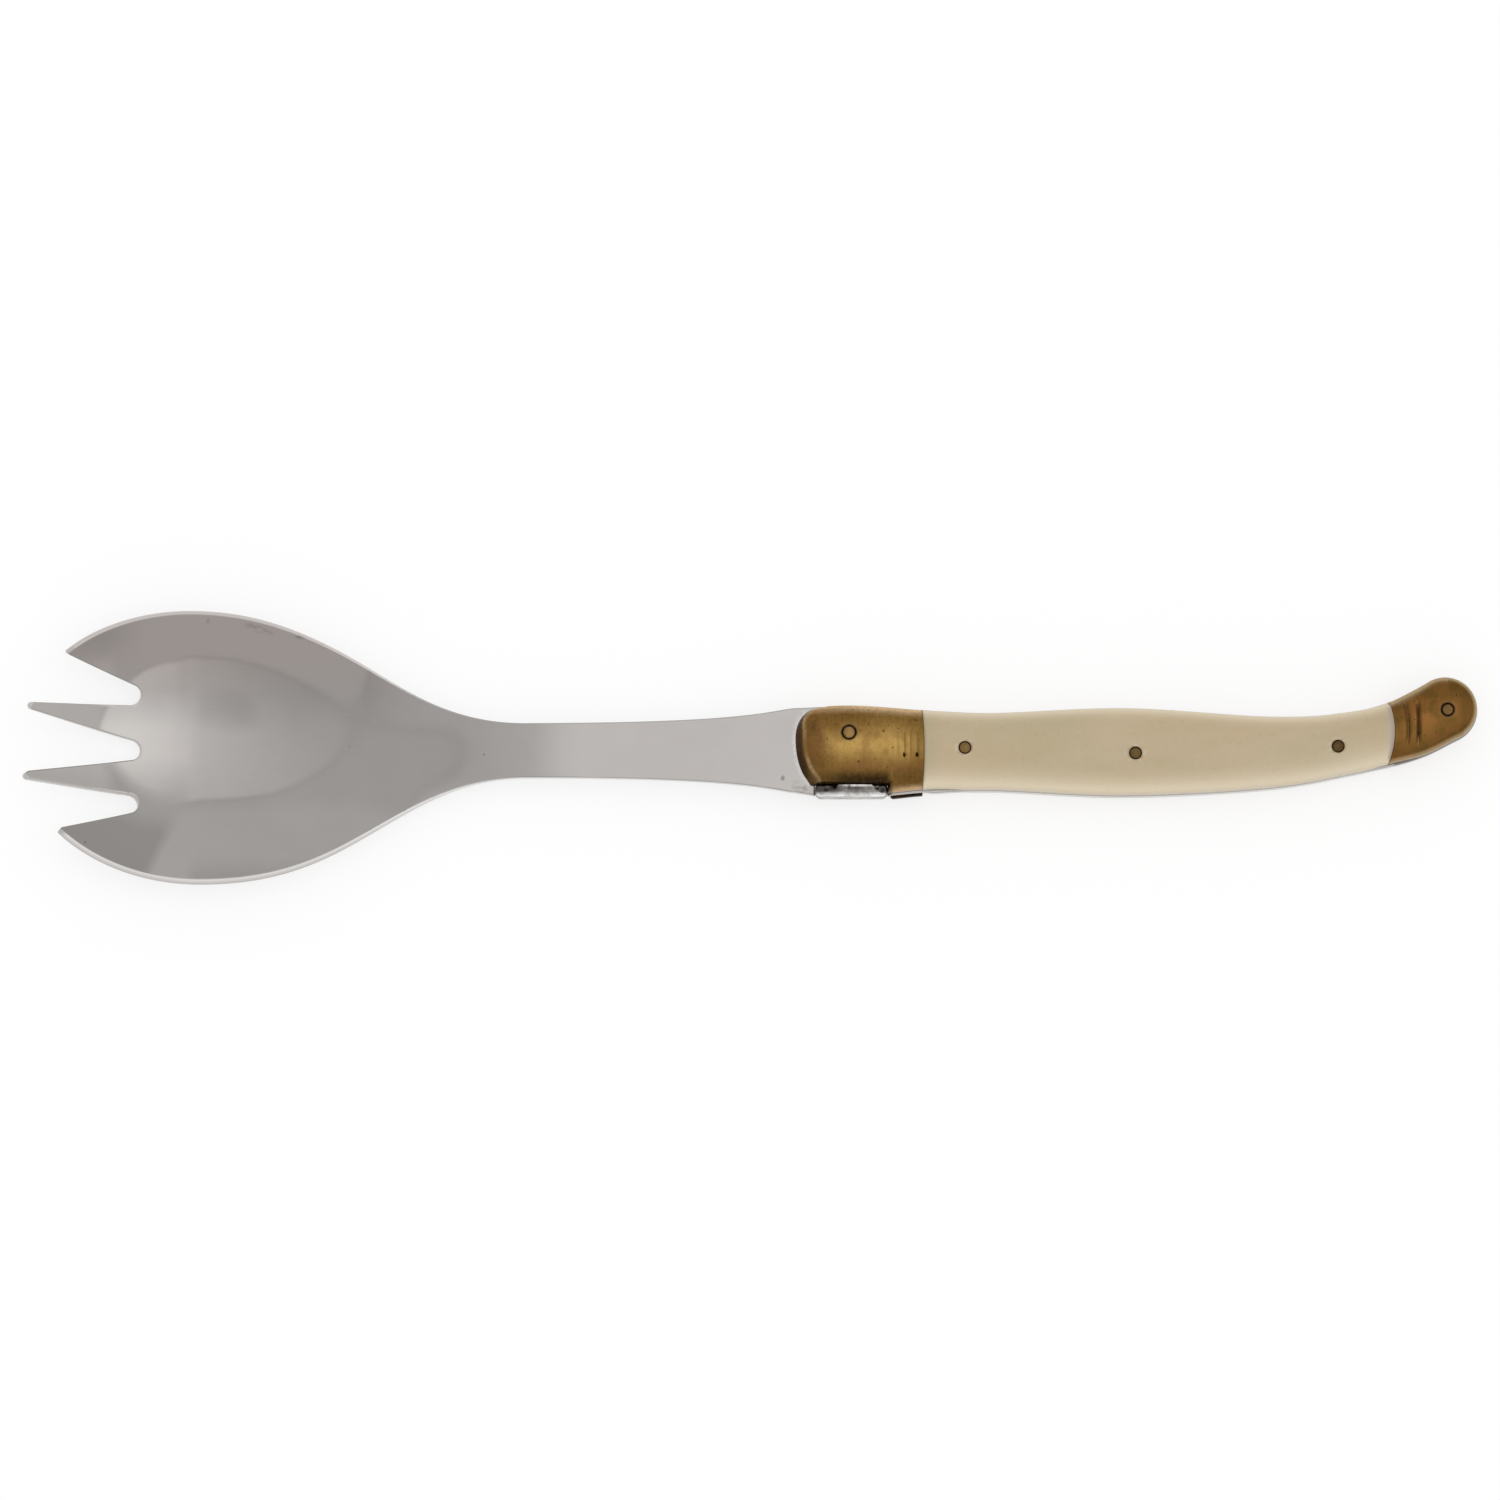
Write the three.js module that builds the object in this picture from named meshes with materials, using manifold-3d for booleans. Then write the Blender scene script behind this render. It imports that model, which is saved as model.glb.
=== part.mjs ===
// Salad serving fork: a pressed steel head with four tines on a full tang, and a handle of brass
// bolsters, ivory-coloured scales and brass butt caps pinned to both sides of that tang.
// Millimetres. X runs from the tines to the butt, Y across the fork, Z up out of the bowl.
// The fork lies on its back: the bottom scale and the bottom of the bowl touch Z = 0.
import * as THREE from "three";
import { mergeVertices } from "three/addons/utils/BufferGeometryUtils.js";
import Module from "manifold-3d";

const wasm = await Module();
wasm.setup();

// Lengths along the fork
const TIP_TO_WIDEST = 27.3;
const WIDEST_TO_NECK = 55.5;
const NECK_TO_HANDLE = 44.8;

// Head
const HEAD_WIDTH = 44.2; // across the upper edge of the rim
const HEAD_OFFSET = 0.35; // the head stands this far to one side of the neck
const NOSE_LENGTH = 27.6; // half axis of the egg's blunt end, from the widest place
const SHOULDER_FULLNESS = 27; // reach of the shoulder's curve on the bowl side
const SHOULDER_HOLLOW = 21.5; // reach of the shoulder's curve on the neck side
const NECK_WIDTH = 9;
const NECK_FLARE = 36; // reach of the flare's curve on the neck side
const NECK_FLARE_END = 4; // reach of the flare's curve on the handle side
const BOWL_DEPTH = 5.8; // rim above keel at the widest place
const TROUGH_FADE = 32; // length, ahead of the neck, over which the cross-section flattens
const HEAD_SHEET = 1.5;
const TANG_LAP = 2; // the head's sheet runs this far into the tang

// Keel: the sheet's middle line, level in the bowl, bent up to the tines and to the neck
const TINE_SLOPE = 0.48;
const TINE_BEND_AT = 19; // middle of each bend, back from the tips
const TINE_BEND_LENGTH = 22;
const BOWL_BEND_AT = 44;
const BOWL_BEND_LENGTH = 32;
const NECK_BEND_AT = 80;
const NECK_BEND_LENGTH = 20;

// Tines
const TINE_LENGTH = 18.9;
const SLOT_SPACING = 9;
const SLOT_ROOT_RADIUS = 1.65;
const TIP_RADIUS = 0.65;

// Tine tips, ground by hand: each one's distance behind the foremost, and the inner two's places
const UPPER_OUTER_SETBACK = 7.2;
const UPPER_INNER_SETBACK = 0.7;
const LOWER_OUTER_SETBACK = 6.1;
const UPPER_INNER_ACROSS = 6.4;
const LOWER_INNER_ACROSS = -4.95;

// Handle outline: distance from the handle's front, sideways offset and width at each station
const FRONT_WIDTH = 14;
const HUMP_AT = 9;
const HUMP_WIDTH = 15.5;
const WAIST_AT = 31;
const WAIST_WIDTH = 13;
const BELLY_AT = 54;
const BELLY_WIDTH = 14.6;
const WRIST_AT = 79;
const WRIST_WIDTH = 11.8;
const TAIL_AT = 97.7;
const TAIL_WIDTH = 10.4;
const BUTT_AT = 107;
const BUTT_RADIUS = 5.4;
const GRIP_OFFSET = -0.4; // the grip hangs a little below the neck's axis
const TAIL_OFFSET = 2.6;
const BUTT_OFFSET = 6.6;

// Handle pieces
const TANG_SHEET = 2;
const SLAB_THICKNESS = 3.55;
const SLAB_INSET = 0.12; // the tang shows this much all round the slabs
const GLUE_LINE = 0.05;
const EDGE_ROUND_WIDTH = 2;
const EDGE_ROUND_HEIGHT = 2.1;
const BOLSTER_LENGTH = 21.3;
const BOLSTER_JOINT_BULGE = 0.35;
const BOLSTER_CORNER = 4.4; // run of the rounded upper front corner
const BOLSTER_NOSE_ACROSS = 1.9; // sideways place of the foremost point
const BOLSTER_RAKE = 2.3; // run of the slanted lower front edge
const CAP_LENGTH = 13.5;
const CAP_JOINT_BULGE = 0.9;

// Plate let into the handle's lower edge, its spine
const PLATE_LENGTH = 11.4;
const PLATE_HEIGHT = 2.55;
const PLATE_WIDTH = 6;
const PLATE_PROUD = 0.15; // stands this far out of the handle's edge
const PLATE_CORNER = 1.6;
const PLATE_ROUND = 0.6;
const PLATE_END_GAP = 0.3;

// Pins: distance from what each one holds, and sideways place from the handle's middle line
const PIN_DIAMETER = 2.1;
const PIN_CLEARANCE = 0.1;
const BOLSTER_PIN_AT = 8.7;
const BOLSTER_PIN_ACROSS = 2.9;
const SCALE_PIN_BEHIND_BOLSTER = 6.5;
const FRONT_SCALE_PIN_ACROSS = 0.4;
const SCALE_PIN_BEHIND_BELLY = 1.9;
const MIDDLE_SCALE_PIN_ACROSS = -0.5;
const SCALE_PIN_AHEAD_OF_CAP = 9.6;
const REAR_SCALE_PIN_ACROSS = -0.6;
const BUTT_PIN_FROM_END = 5.1;
const BUTT_PIN_ACROSS = -0.3;

// Facets
const SECTION_POINTS = 19;
const STOCK_SECTIONS = 3;
const NOSE_SECTIONS = 11;
const SHOULDER_SECTIONS = 17;
const NECK_SECTIONS = 6;
const EDGE_POINTS = 40;
const CURVE_SEGMENTS = 7;
const RAKE_SEGMENTS = 4;
const ROUND_SEGMENTS = 4;
const PIN_SEGMENTS = 24;
const KEEL_STEP = 0.5;
const SOLVE_ROUNDS = 30;

// Places worked out from those sizes
const headLength = TIP_TO_WIDEST + WIDEST_TO_NECK + NECK_TO_HANDLE;
const overallLength = headLength + BUTT_AT + BUTT_RADIUS;
const xTip = -overallLength / 2;
const xWidest = xTip + TIP_TO_WIDEST;
const xNeck = xWidest + WIDEST_TO_NECK;
const xHandle = xNeck + NECK_TO_HANDLE;
const handleLength = BUTT_AT + BUTT_RADIUS;
const capJointAt = handleLength - CAP_LENGTH;
const slabBase = TANG_SHEET / 2 + GLUE_LINE;
const slabTop = slabBase + SLAB_THICKNESS;
const tangTop = TANG_SHEET / 2;
const FAR = 2 * overallLength;

// Materials
const steel = new THREE.MeshStandardMaterial({ color: 0xb9b5b1, roughness: 0.28, metalness: 1 });
const brass = new THREE.MeshStandardMaterial({ color: 0x8a6a33, roughness: 0.38, metalness: 1 });
const pinBrass = new THREE.MeshStandardMaterial({ color: 0x9a7a48, roughness: 0.45, metalness: 1 });
const ivory = new THREE.MeshStandardMaterial({ color: 0xe3d6b4, roughness: 0.35, metalness: 0 });

// Solids from three.js geometry, and back
function solidOf(geometry) {
  const bare = new THREE.BufferGeometry().setAttribute("position", geometry.getAttribute("position"));
  bare.setIndex(geometry.index);
  const merged = mergeVertices(bare, 1e-4);
  return new wasm.Manifold(
    new wasm.Mesh({
      numProp: 3,
      vertProperties: merged.getAttribute("position").array,
      triVerts: new Uint32Array(merged.index.array),
    }),
  );
}

function meshOf(name, solid, material) {
  const made = solid.getMesh();
  const geometry = new THREE.BufferGeometry();
  geometry.setAttribute("position", new THREE.BufferAttribute(made.vertProperties, made.numProp));
  geometry.setIndex(new THREE.BufferAttribute(made.triVerts, 1));
  geometry.computeVertexNormals();
  const mesh = new THREE.Mesh(geometry, material);
  mesh.name = name;
  return mesh;
}

// A solid skinned over rings of points, each ring with as many points as the next
function loft(rings) {
  const count = rings[0].length;
  const positions = rings.flat().flatMap((point) => point.toArray());
  const index = [];
  for (let ring = 0; ring + 1 < rings.length; ring++) {
    for (let i = 0; i < count; i++) {
      const a = ring * count + i;
      const b = ring * count + ((i + 1) % count);
      index.push(a, b, a + count, b, b + count, a + count);
    }
  }
  const last = (rings.length - 1) * count;
  for (let i = 0; i + 1 < count / 2; i++) {
    const a = count - 1 - i;
    index.push(i, a, i + 1, i + 1, a, a - 1);
    index.push(last + i, last + i + 1, last + a, last + i + 1, last + a - 1, last + a);
  }
  const geometry = new THREE.BufferGeometry();
  geometry.setAttribute("position", new THREE.Float32BufferAttribute(positions, 3));
  geometry.setIndex(index);
  return solidOf(geometry);
}

function prism(shape, bottom, top) {
  const geometry = new THREE.ExtrudeGeometry(shape, {
    depth: top - bottom,
    bevelEnabled: false,
    curveSegments: CURVE_SEGMENTS,
  });
  return solidOf(geometry.translate(0, 0, bottom));
}

function block(xFrom, xTo, yFrom, yTo, zFrom, zTo) {
  const geometry = new THREE.BoxGeometry(xTo - xFrom, yTo - yFrom, zTo - zFrom);
  return solidOf(geometry.translate((xFrom + xTo) / 2, (yFrom + yTo) / 2, (zFrom + zTo) / 2));
}

function pinHole(place) {
  return pinSolid(place, PIN_DIAMETER / 2 + PIN_CLEARANCE, FAR);
}

function pinSolid(place, radius, height) {
  const geometry = new THREE.CylinderGeometry(radius, radius, height, PIN_SEGMENTS);
  geometry.rotateX(Math.PI / 2).translate(place.x, place.y, 0);
  return solidOf(geometry);
}

// Head: the pressed surface, seen from above, before the tines are cut
function smooth(t) {
  const s = THREE.MathUtils.clamp(t, 0, 1);
  return s * s * s * (s * (6 * s - 15) + 10);
}

// Climb of a line that is level before a bend and has a slope of 1 after it
function climb(pastBend, bendLength) {
  const t = THREE.MathUtils.clamp(pastBend / bendLength + 0.5, 0, 1);
  const straight = Math.max(0, pastBend - bendLength / 2);
  return bendLength * t ** 3 * (1 - t / 2) + straight;
}

// The keel's climb to the tines, and the share of its climb from the bowl to the neck
function keelShape(x) {
  const back = x - xTip;
  const front = TINE_SLOPE * climb(TINE_BEND_AT - back, TINE_BEND_LENGTH);
  const ramp = climb(back - BOWL_BEND_AT, BOWL_BEND_LENGTH) - climb(back - NECK_BEND_AT, NECK_BEND_LENGTH);
  return { front, neck: ramp / (NECK_BEND_AT - BOWL_BEND_AT) };
}

// The neck's climb is what brings the bowl's underside down to the level of the handle's back
const bowlFloor = HEAD_SHEET - slabTop;
function lowestKeel(neckClimb) {
  let lowest = Infinity;
  for (let x = xTip; x < xNeck; x += KEEL_STEP) {
    const { front, neck } = keelShape(x);
    lowest = Math.min(lowest, tangTop - neckClimb * (1 - neck) + front);
  }
  return lowest;
}
let neckClimb = tangTop - bowlFloor;
for (let round = 0; round < SOLVE_ROUNDS; round++) {
  neckClimb += lowestKeel(neckClimb) - bowlFloor;
}

// The head's own axis, which leaves the neck's along the front half of the shoulders
function headAxis(x) {
  const run = WIDEST_TO_NECK / 2;
  return HEAD_OFFSET * smooth((xWidest + run - x) / run);
}

function topHeight(x, y) {
  const { front, neck } = keelShape(x);
  const trough = (BOWL_DEPTH / (HEAD_WIDTH / 2) ** 2) * smooth((xNeck - x) / TROUGH_FADE);
  return tangTop - neckClimb * (1 - neck) + front + trough * (y - headAxis(x)) ** 2;
}

function sheetThickness(x) {
  return THREE.MathUtils.lerp(TANG_SHEET, HEAD_SHEET, smooth((xNeck - x) / TROUGH_FADE));
}

// A point on the pressed sheet, depth below its upper face and square to it
function sheetPoint(x, y, depth) {
  const step = 0.01;
  const slopeX = (topHeight(x + step, y) - topHeight(x - step, y)) / (2 * step);
  const slopeY = (topHeight(x, y + step) - topHeight(x, y - step)) / (2 * step);
  const normal = new THREE.Vector3(-slopeX, -slopeY, 1).normalize();
  return new THREE.Vector3(x, y, topHeight(x, y)).addScaledVector(normal, -depth);
}

// Half outline of the head and neck: egg nose, hollow shoulder, flared neck
function headStations() {
  const half = HEAD_WIDTH / 2;
  const xStock = xTip + Math.min(UPPER_OUTER_SETBACK, LOWER_OUTER_SETBACK);
  const innerReach = Math.max(UPPER_INNER_ACROSS, -LOWER_INNER_ACROSS) + 2 * TIP_RADIUS;
  const noseStart = Math.acos((xStock - xWidest) / NOSE_LENGTH);
  const nose = new THREE.EllipseCurve(xWidest, 0, NOSE_LENGTH, half, noseStart, Math.PI / 2, true);
  const tineStock = new THREE.LineCurve(
    new THREE.Vector2(xTip - TIP_RADIUS, innerReach),
    nose.getPoint(0),
  );
  const shoulder = new THREE.CubicBezierCurve(
    new THREE.Vector2(xWidest, half),
    new THREE.Vector2(xWidest + SHOULDER_FULLNESS, half),
    new THREE.Vector2(xNeck - SHOULDER_HOLLOW, NECK_WIDTH / 2),
    new THREE.Vector2(xNeck, NECK_WIDTH / 2),
  );
  const handleFront = new THREE.Vector2(xHandle, FRONT_WIDTH / 2);
  const leaving = handleEdge(1 / EDGE_POINTS, 1, 0).sub(handleEdge(0, 1, 0));
  const flareEnd = leaving.multiplyScalar(NECK_FLARE_END / leaving.x);
  const flare = new THREE.CubicBezierCurve(
    new THREE.Vector2(xNeck, NECK_WIDTH / 2),
    new THREE.Vector2(xNeck + NECK_FLARE, NECK_WIDTH / 2),
    handleFront.clone().sub(flareEnd),
    handleFront,
  );
  const tangRoot = new THREE.Vector2(xHandle + TANG_LAP, FRONT_WIDTH / 2);
  return [
    ...tineStock.getPoints(STOCK_SECTIONS).slice(0, -1),
    ...nose.getPoints(NOSE_SECTIONS),
    ...shoulder.getPoints(SHOULDER_SECTIONS).slice(1),
    ...flare.getPoints(NECK_SECTIONS).slice(1),
    tangRoot,
  ];
}

function headBlank() {
  const rings = headStations().map(({ x, y: half }) => {
    const step = (2 * half) / (SECTION_POINTS - 1);
    const across = Array.from({ length: SECTION_POINTS }, (_, i) => headAxis(x) + half - step * i);
    const thickness = sheetThickness(x);
    const upper = across.map((y) => sheetPoint(x, y, 0));
    const lower = across.map((y) => sheetPoint(x, y, thickness));
    return [...upper, ...lower.reverse()];
  });
  return loft(rings);
}

// Where a straight tine edge leaves the round tip and meets the round root of a slot
function tineEdge(tip, tipRadius, root, sideways) {
  const along = root.clone().sub(tip);
  const reach = (tipRadius + SLOT_ROOT_RADIUS) / along.length();
  along.normalize();
  const square = new THREE.Vector2(-along.y, along.x).multiplyScalar(sideways);
  const normal = along.multiplyScalar(reach).addScaledVector(square, Math.sqrt(1 - reach * reach));
  return {
    atTip: tip.clone().addScaledVector(normal, tipRadius),
    atRoot: root.clone().addScaledVector(normal, -SLOT_ROOT_RADIUS),
  };
}

// Half width of the egg outline, a distance behind the foremost tip
function rimHalfWidth(setback) {
  return (HEAD_WIDTH / 2) * Math.sqrt(1 - ((TIP_TO_WIDEST - setback) / NOSE_LENGTH) ** 2);
}

// Everything that is cut away between and ahead of the tines
function tinePunch() {
  const xRoot = xTip + TINE_LENGTH - SLOT_ROOT_RADIUS;
  const place = (setback, y) => new THREE.Vector2(xTip + setback, HEAD_OFFSET + y);
  const tips = [
    place(UPPER_OUTER_SETBACK, rimHalfWidth(UPPER_OUTER_SETBACK)),
    place(UPPER_INNER_SETBACK + TIP_RADIUS, UPPER_INNER_ACROSS),
    place(TIP_RADIUS, LOWER_INNER_ACROSS),
    place(LOWER_OUTER_SETBACK, -rimHalfWidth(LOWER_OUTER_SETBACK)),
  ];
  const slots = [SLOT_SPACING, 0, -SLOT_SPACING];
  const roots = slots.map((y) => new THREE.Vector2(xRoot, HEAD_OFFSET + y));
  const radius = (i) => (i === 0 || i === 3 ? 0 : TIP_RADIUS);

  const shape = new THREE.Shape();
  const angle = (point, centre) => Math.atan2(point.y - centre.y, point.x - centre.x);
  roots.forEach((root, i) => {
    const upper = tineEdge(tips[i], radius(i), root, -1);
    const lower = tineEdge(tips[i + 1], radius(i + 1), root, 1);
    if (i === 0) {
      const outward = upper.atTip.clone().sub(upper.atRoot).normalize();
      const start = upper.atTip.clone().addScaledVector(outward, HEAD_WIDTH / 2);
      shape.moveTo(start.x, start.y);
    }
    shape.lineTo(upper.atRoot.x, upper.atRoot.y);
    const leaves = angle(lower.atRoot, root);
    shape.absarc(root.x, root.y, SLOT_ROOT_RADIUS, angle(upper.atRoot, root), leaves, true);
    shape.lineTo(lower.atTip.x, lower.atTip.y);
    if (i < 2) {
      const next = tineEdge(tips[i + 1], TIP_RADIUS, roots[i + 1], -1);
      const tip = tips[i + 1];
      shape.absarc(tip.x, tip.y, TIP_RADIUS, angle(lower.atTip, tip), angle(next.atTip, tip), false);
    } else {
      const outward = lower.atTip.clone().sub(lower.atRoot).normalize();
      const end = lower.atTip.clone().addScaledVector(outward, HEAD_WIDTH / 2);
      shape.lineTo(end.x, end.y);
    }
  });
  return prism(shape, -FAR, FAR);
}

// Handle: one spine curve carries place, sideways offset and half width
function station(along, offset, width) {
  return new THREE.Vector3(xHandle + along, offset, width / 2);
}

const spine = new THREE.CatmullRomCurve3(
  [
    station(0, 0, FRONT_WIDTH),
    station(HUMP_AT, GRIP_OFFSET, HUMP_WIDTH),
    station(WAIST_AT, GRIP_OFFSET, WAIST_WIDTH),
    station(BELLY_AT, GRIP_OFFSET, BELLY_WIDTH),
    station(WRIST_AT, GRIP_OFFSET, WRIST_WIDTH),
    station(TAIL_AT, TAIL_OFFSET, TAIL_WIDTH),
    station(BUTT_AT, BUTT_OFFSET, 2 * BUTT_RADIUS),
  ],
  false,
  "centripetal",
);

// Place (x, y) and half width (z) of the handle's middle line, a distance behind its front
function middleLine(along) {
  let low = 0;
  let high = 1;
  for (let round = 0; round < SOLVE_ROUNDS; round++) {
    const middle = (low + high) / 2;
    if (spine.getPoint(middle).x < xHandle + along) {
      low = middle;
    } else {
      high = middle;
    }
  }
  return spine.getPoint(high).setX(xHandle + along);
}

function pinPlace(along, across) {
  return middleLine(along).add(new THREE.Vector3(0, across, 0));
}

const bolsterPin = pinPlace(BOLSTER_PIN_AT, BOLSTER_PIN_ACROSS);
const scalePins = [
  pinPlace(BOLSTER_LENGTH + SCALE_PIN_BEHIND_BOLSTER, FRONT_SCALE_PIN_ACROSS),
  pinPlace(BELLY_AT + SCALE_PIN_BEHIND_BELLY, MIDDLE_SCALE_PIN_ACROSS),
  pinPlace(capJointAt - SCALE_PIN_AHEAD_OF_CAP, REAR_SCALE_PIN_ACROSS),
];
const buttPin = pinPlace(handleLength - BUTT_PIN_FROM_END, BUTT_PIN_ACROSS);

function spineNormal(t) {
  const tangent = spine.getTangent(t);
  return new THREE.Vector2(-tangent.y, tangent.x).normalize();
}

function handleEdge(t, side, inset) {
  const point = spine.getPoint(t);
  return new THREE.Vector2(point.x, point.y).addScaledVector(spineNormal(t), side * (point.z - inset));
}

function edgePoints(side, inset) {
  return Array.from({ length: EDGE_POINTS + 1 }, (_, i) => handleEdge(i / EDGE_POINTS, side, inset));
}

// A closed outline, without points that all but coincide
function outline(points) {
  const apart = points.filter((point, i) => point.distanceTo(points.at(i - 1)) > GLUE_LINE);
  return new THREE.Shape(apart);
}

// Outline of the whole handle: upper edge, round butt, lower edge, with a square lead ahead of it
function handleOutline(inset, lead) {
  const end = spine.getPoint(1);
  const ahead = (side) => handleEdge(0, side, inset).add(new THREE.Vector2(-lead, 0));
  const normal = spineNormal(1);
  const up = Math.atan2(normal.y, normal.x);
  const radius = BUTT_RADIUS - inset;
  const butt = new THREE.EllipseCurve(end.x, end.y, radius, radius, up, up - Math.PI, true);
  return outline([
    ahead(1),
    ...edgePoints(1, inset),
    ...butt.getPoints(2 * CURVE_SEGMENTS),
    ...edgePoints(-1, inset).reverse(),
    ahead(-1),
  ]);
}

// Outline of the bolster's front part, whose lower edge is cut back to clear the plate
function bolsterOutline() {
  const upper = edgePoints(1, SLAB_INSET).filter(
    (point) => point.x > xHandle + BOLSTER_CORNER && point.x < xHandle + WAIST_AT,
  );
  const first = upper[0];
  const lowerCorner = new THREE.Vector2(xHandle + BOLSTER_RAKE, plateSeat);
  const foremost = new THREE.Vector2(xHandle, BOLSTER_NOSE_ACROSS);
  const rake = new THREE.QuadraticBezierCurve(
    lowerCorner,
    new THREE.Vector2(xHandle, plateSeat / 2),
    foremost,
  );
  const corner = new THREE.CubicBezierCurve(
    foremost,
    new THREE.Vector2(xHandle, (BOLSTER_NOSE_ACROSS + first.y) / 2),
    new THREE.Vector2(xHandle + BOLSTER_CORNER / 2, first.y),
    first,
  );
  return outline([
    new THREE.Vector2(upper.at(-1).x, plateSeat),
    ...rake.getPoints(RAKE_SEGMENTS),
    ...corner.getPoints(CURVE_SEGMENTS),
    ...upper,
  ]);
}

// A slab with a rounded outer edge, on the upper face of the tang
function slab(shape) {
  const geometry = new THREE.ExtrudeGeometry(shape, {
    depth: SLAB_THICKNESS,
    bevelThickness: EDGE_ROUND_HEIGHT,
    bevelSize: EDGE_ROUND_WIDTH,
    bevelOffset: -EDGE_ROUND_WIDTH,
    bevelSegments: ROUND_SEGMENTS,
    curveSegments: CURVE_SEGMENTS,
  });
  geometry.translate(0, 0, slabTop - EDGE_ROUND_HEIGHT - SLAB_THICKNESS);
  return solidOf(geometry).intersect(block(-FAR, FAR, -FAR, FAR, slabBase, FAR));
}

// Everything on the tine side of a joint, which bulges towards the butt on the middle line.
// Its parabola is drawn to twice the handle's half width, where the bulge is four times as deep.
function aheadOf(along, bulge) {
  const { x, y, z: half } = middleLine(along);
  const shape = new THREE.Shape();
  shape.moveTo(-FAR, -FAR);
  shape.lineTo(x - 4 * bulge, y - 2 * half);
  shape.quadraticCurveTo(x + 4 * bulge, y, x - 4 * bulge, y + 2 * half);
  shape.lineTo(-FAR, FAR);
  return prism(shape, -FAR, FAR);
}

// The plate sits in a seat in the tang's lower edge, under the hump
const xPlate = xHandle + HUMP_AT;
const plateFace = GRIP_OFFSET - HUMP_WIDTH / 2 - PLATE_PROUD;
const plateSeat = plateFace + PLATE_HEIGHT + GLUE_LINE;
const seatHalf = PLATE_LENGTH / 2 + PLATE_END_GAP;

function bolster() {
  const ahead = aheadOf(BOLSTER_LENGTH - GLUE_LINE / 2, BOLSTER_JOINT_BULGE);
  const rear = slab(handleOutline(SLAB_INSET, FRONT_WIDTH)).intersect(
    block(xPlate + seatHalf, FAR, -FAR, FAR, -FAR, FAR),
  );
  return slab(bolsterOutline()).add(rear).intersect(ahead).subtract(pinHole(bolsterPin));
}

function scale() {
  const ahead = aheadOf(capJointAt - GLUE_LINE / 2, CAP_JOINT_BULGE);
  const bolsterSide = aheadOf(BOLSTER_LENGTH + GLUE_LINE / 2, BOLSTER_JOINT_BULGE);
  const blank = slab(handleOutline(SLAB_INSET, FRONT_WIDTH)).intersect(ahead).subtract(bolsterSide);
  return scalePins.reduce((solid, place) => solid.subtract(pinHole(place)), blank);
}

function buttCap() {
  const ahead = aheadOf(capJointAt + GLUE_LINE / 2, CAP_JOINT_BULGE);
  return slab(handleOutline(SLAB_INSET, FRONT_WIDTH)).subtract(ahead).subtract(pinHole(buttPin));
}

function forkBlank() {
  const seat = block(xPlate - seatHalf, xPlate + seatHalf, -FAR, plateSeat, -FAR, FAR);
  const tang = prism(handleOutline(0, 0), -tangTop, tangTop).subtract(seat);
  const blank = headBlank().subtract(tinePunch()).add(tang);
  const places = [bolsterPin, ...scalePins, buttPin];
  return places.reduce((solid, place) => solid.subtract(pinHole(place)), blank);
}

// A small pad with round corners and a rounded outer edge
function spinePlate() {
  const halfLength = PLATE_LENGTH / 2 - PLATE_CORNER;
  const halfWidth = PLATE_WIDTH / 2 - PLATE_CORNER;
  const shape = new THREE.Shape();
  shape.absarc(halfLength, halfWidth, PLATE_CORNER, 0, Math.PI / 2, false);
  shape.absarc(-halfLength, halfWidth, PLATE_CORNER, Math.PI / 2, Math.PI, false);
  shape.absarc(-halfLength, -halfWidth, PLATE_CORNER, Math.PI, 1.5 * Math.PI, false);
  shape.absarc(halfLength, -halfWidth, PLATE_CORNER, 1.5 * Math.PI, 2 * Math.PI, false);
  const geometry = new THREE.ExtrudeGeometry(shape, {
    depth: PLATE_HEIGHT,
    bevelThickness: PLATE_ROUND,
    bevelSize: PLATE_ROUND,
    bevelOffset: -PLATE_ROUND,
    bevelSegments: ROUND_SEGMENTS,
    curveSegments: CURVE_SEGMENTS,
  });
  geometry.translate(0, 0, -PLATE_HEIGHT - PLATE_ROUND).rotateX(Math.PI / 2);
  geometry.translate(xPlate, plateFace, 0);
  return solidOf(geometry).intersect(block(-FAR, FAR, -FAR, plateFace + PLATE_HEIGHT, -FAR, FAR));
}

function handleSide(name) {
  const side = new THREE.Group();
  side.add(meshOf(`${name}_bolster`, bolster(), brass));
  side.add(meshOf(`${name}_scale`, scale(), ivory));
  side.add(meshOf(`${name}_butt_cap`, buttCap(), brass));
  return side;
}

function pin(name, place) {
  return meshOf(name, pinSolid(place, PIN_DIAMETER / 2, 2 * slabTop), pinBrass);
}

const bottomSide = handleSide("bottom");
bottomSide.scale.z = -1;

// The head is the widest piece, so its middle is the fork's
const fork = new THREE.Group();
fork.position.set(0, -HEAD_OFFSET, slabTop);
fork.add(meshOf("fork_blank", forkBlank(), steel));
fork.add(handleSide("top"), bottomSide);
fork.add(meshOf("spine_plate", spinePlate(), steel));
fork.add(pin("bolster_pin", bolsterPin));
fork.add(pin("front_scale_pin", scalePins[0]));
fork.add(pin("middle_scale_pin", scalePins[1]));
fork.add(pin("rear_scale_pin", scalePins[2]));
fork.add(pin("butt_pin", buttPin));

const part = new THREE.Group();
part.add(fork);

export default part;
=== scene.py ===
# %% [markdown]
# # A salad serving fork, dressed around its CAD solids
# The fork is a pressed steel blank with four tines and a full tang. Brass bolsters, ivory-coloured
# scales and brass butt caps are pinned to both sides of the tang, and a small steel plate is let into
# the lower edge of the handle. The CAD model gives every piece its place and size. Here each piece is
# modelled again with finer curves and gets the finish that a long life in a kitchen has left on it.

# %% Load the frame
import math
from functools import partial

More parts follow.
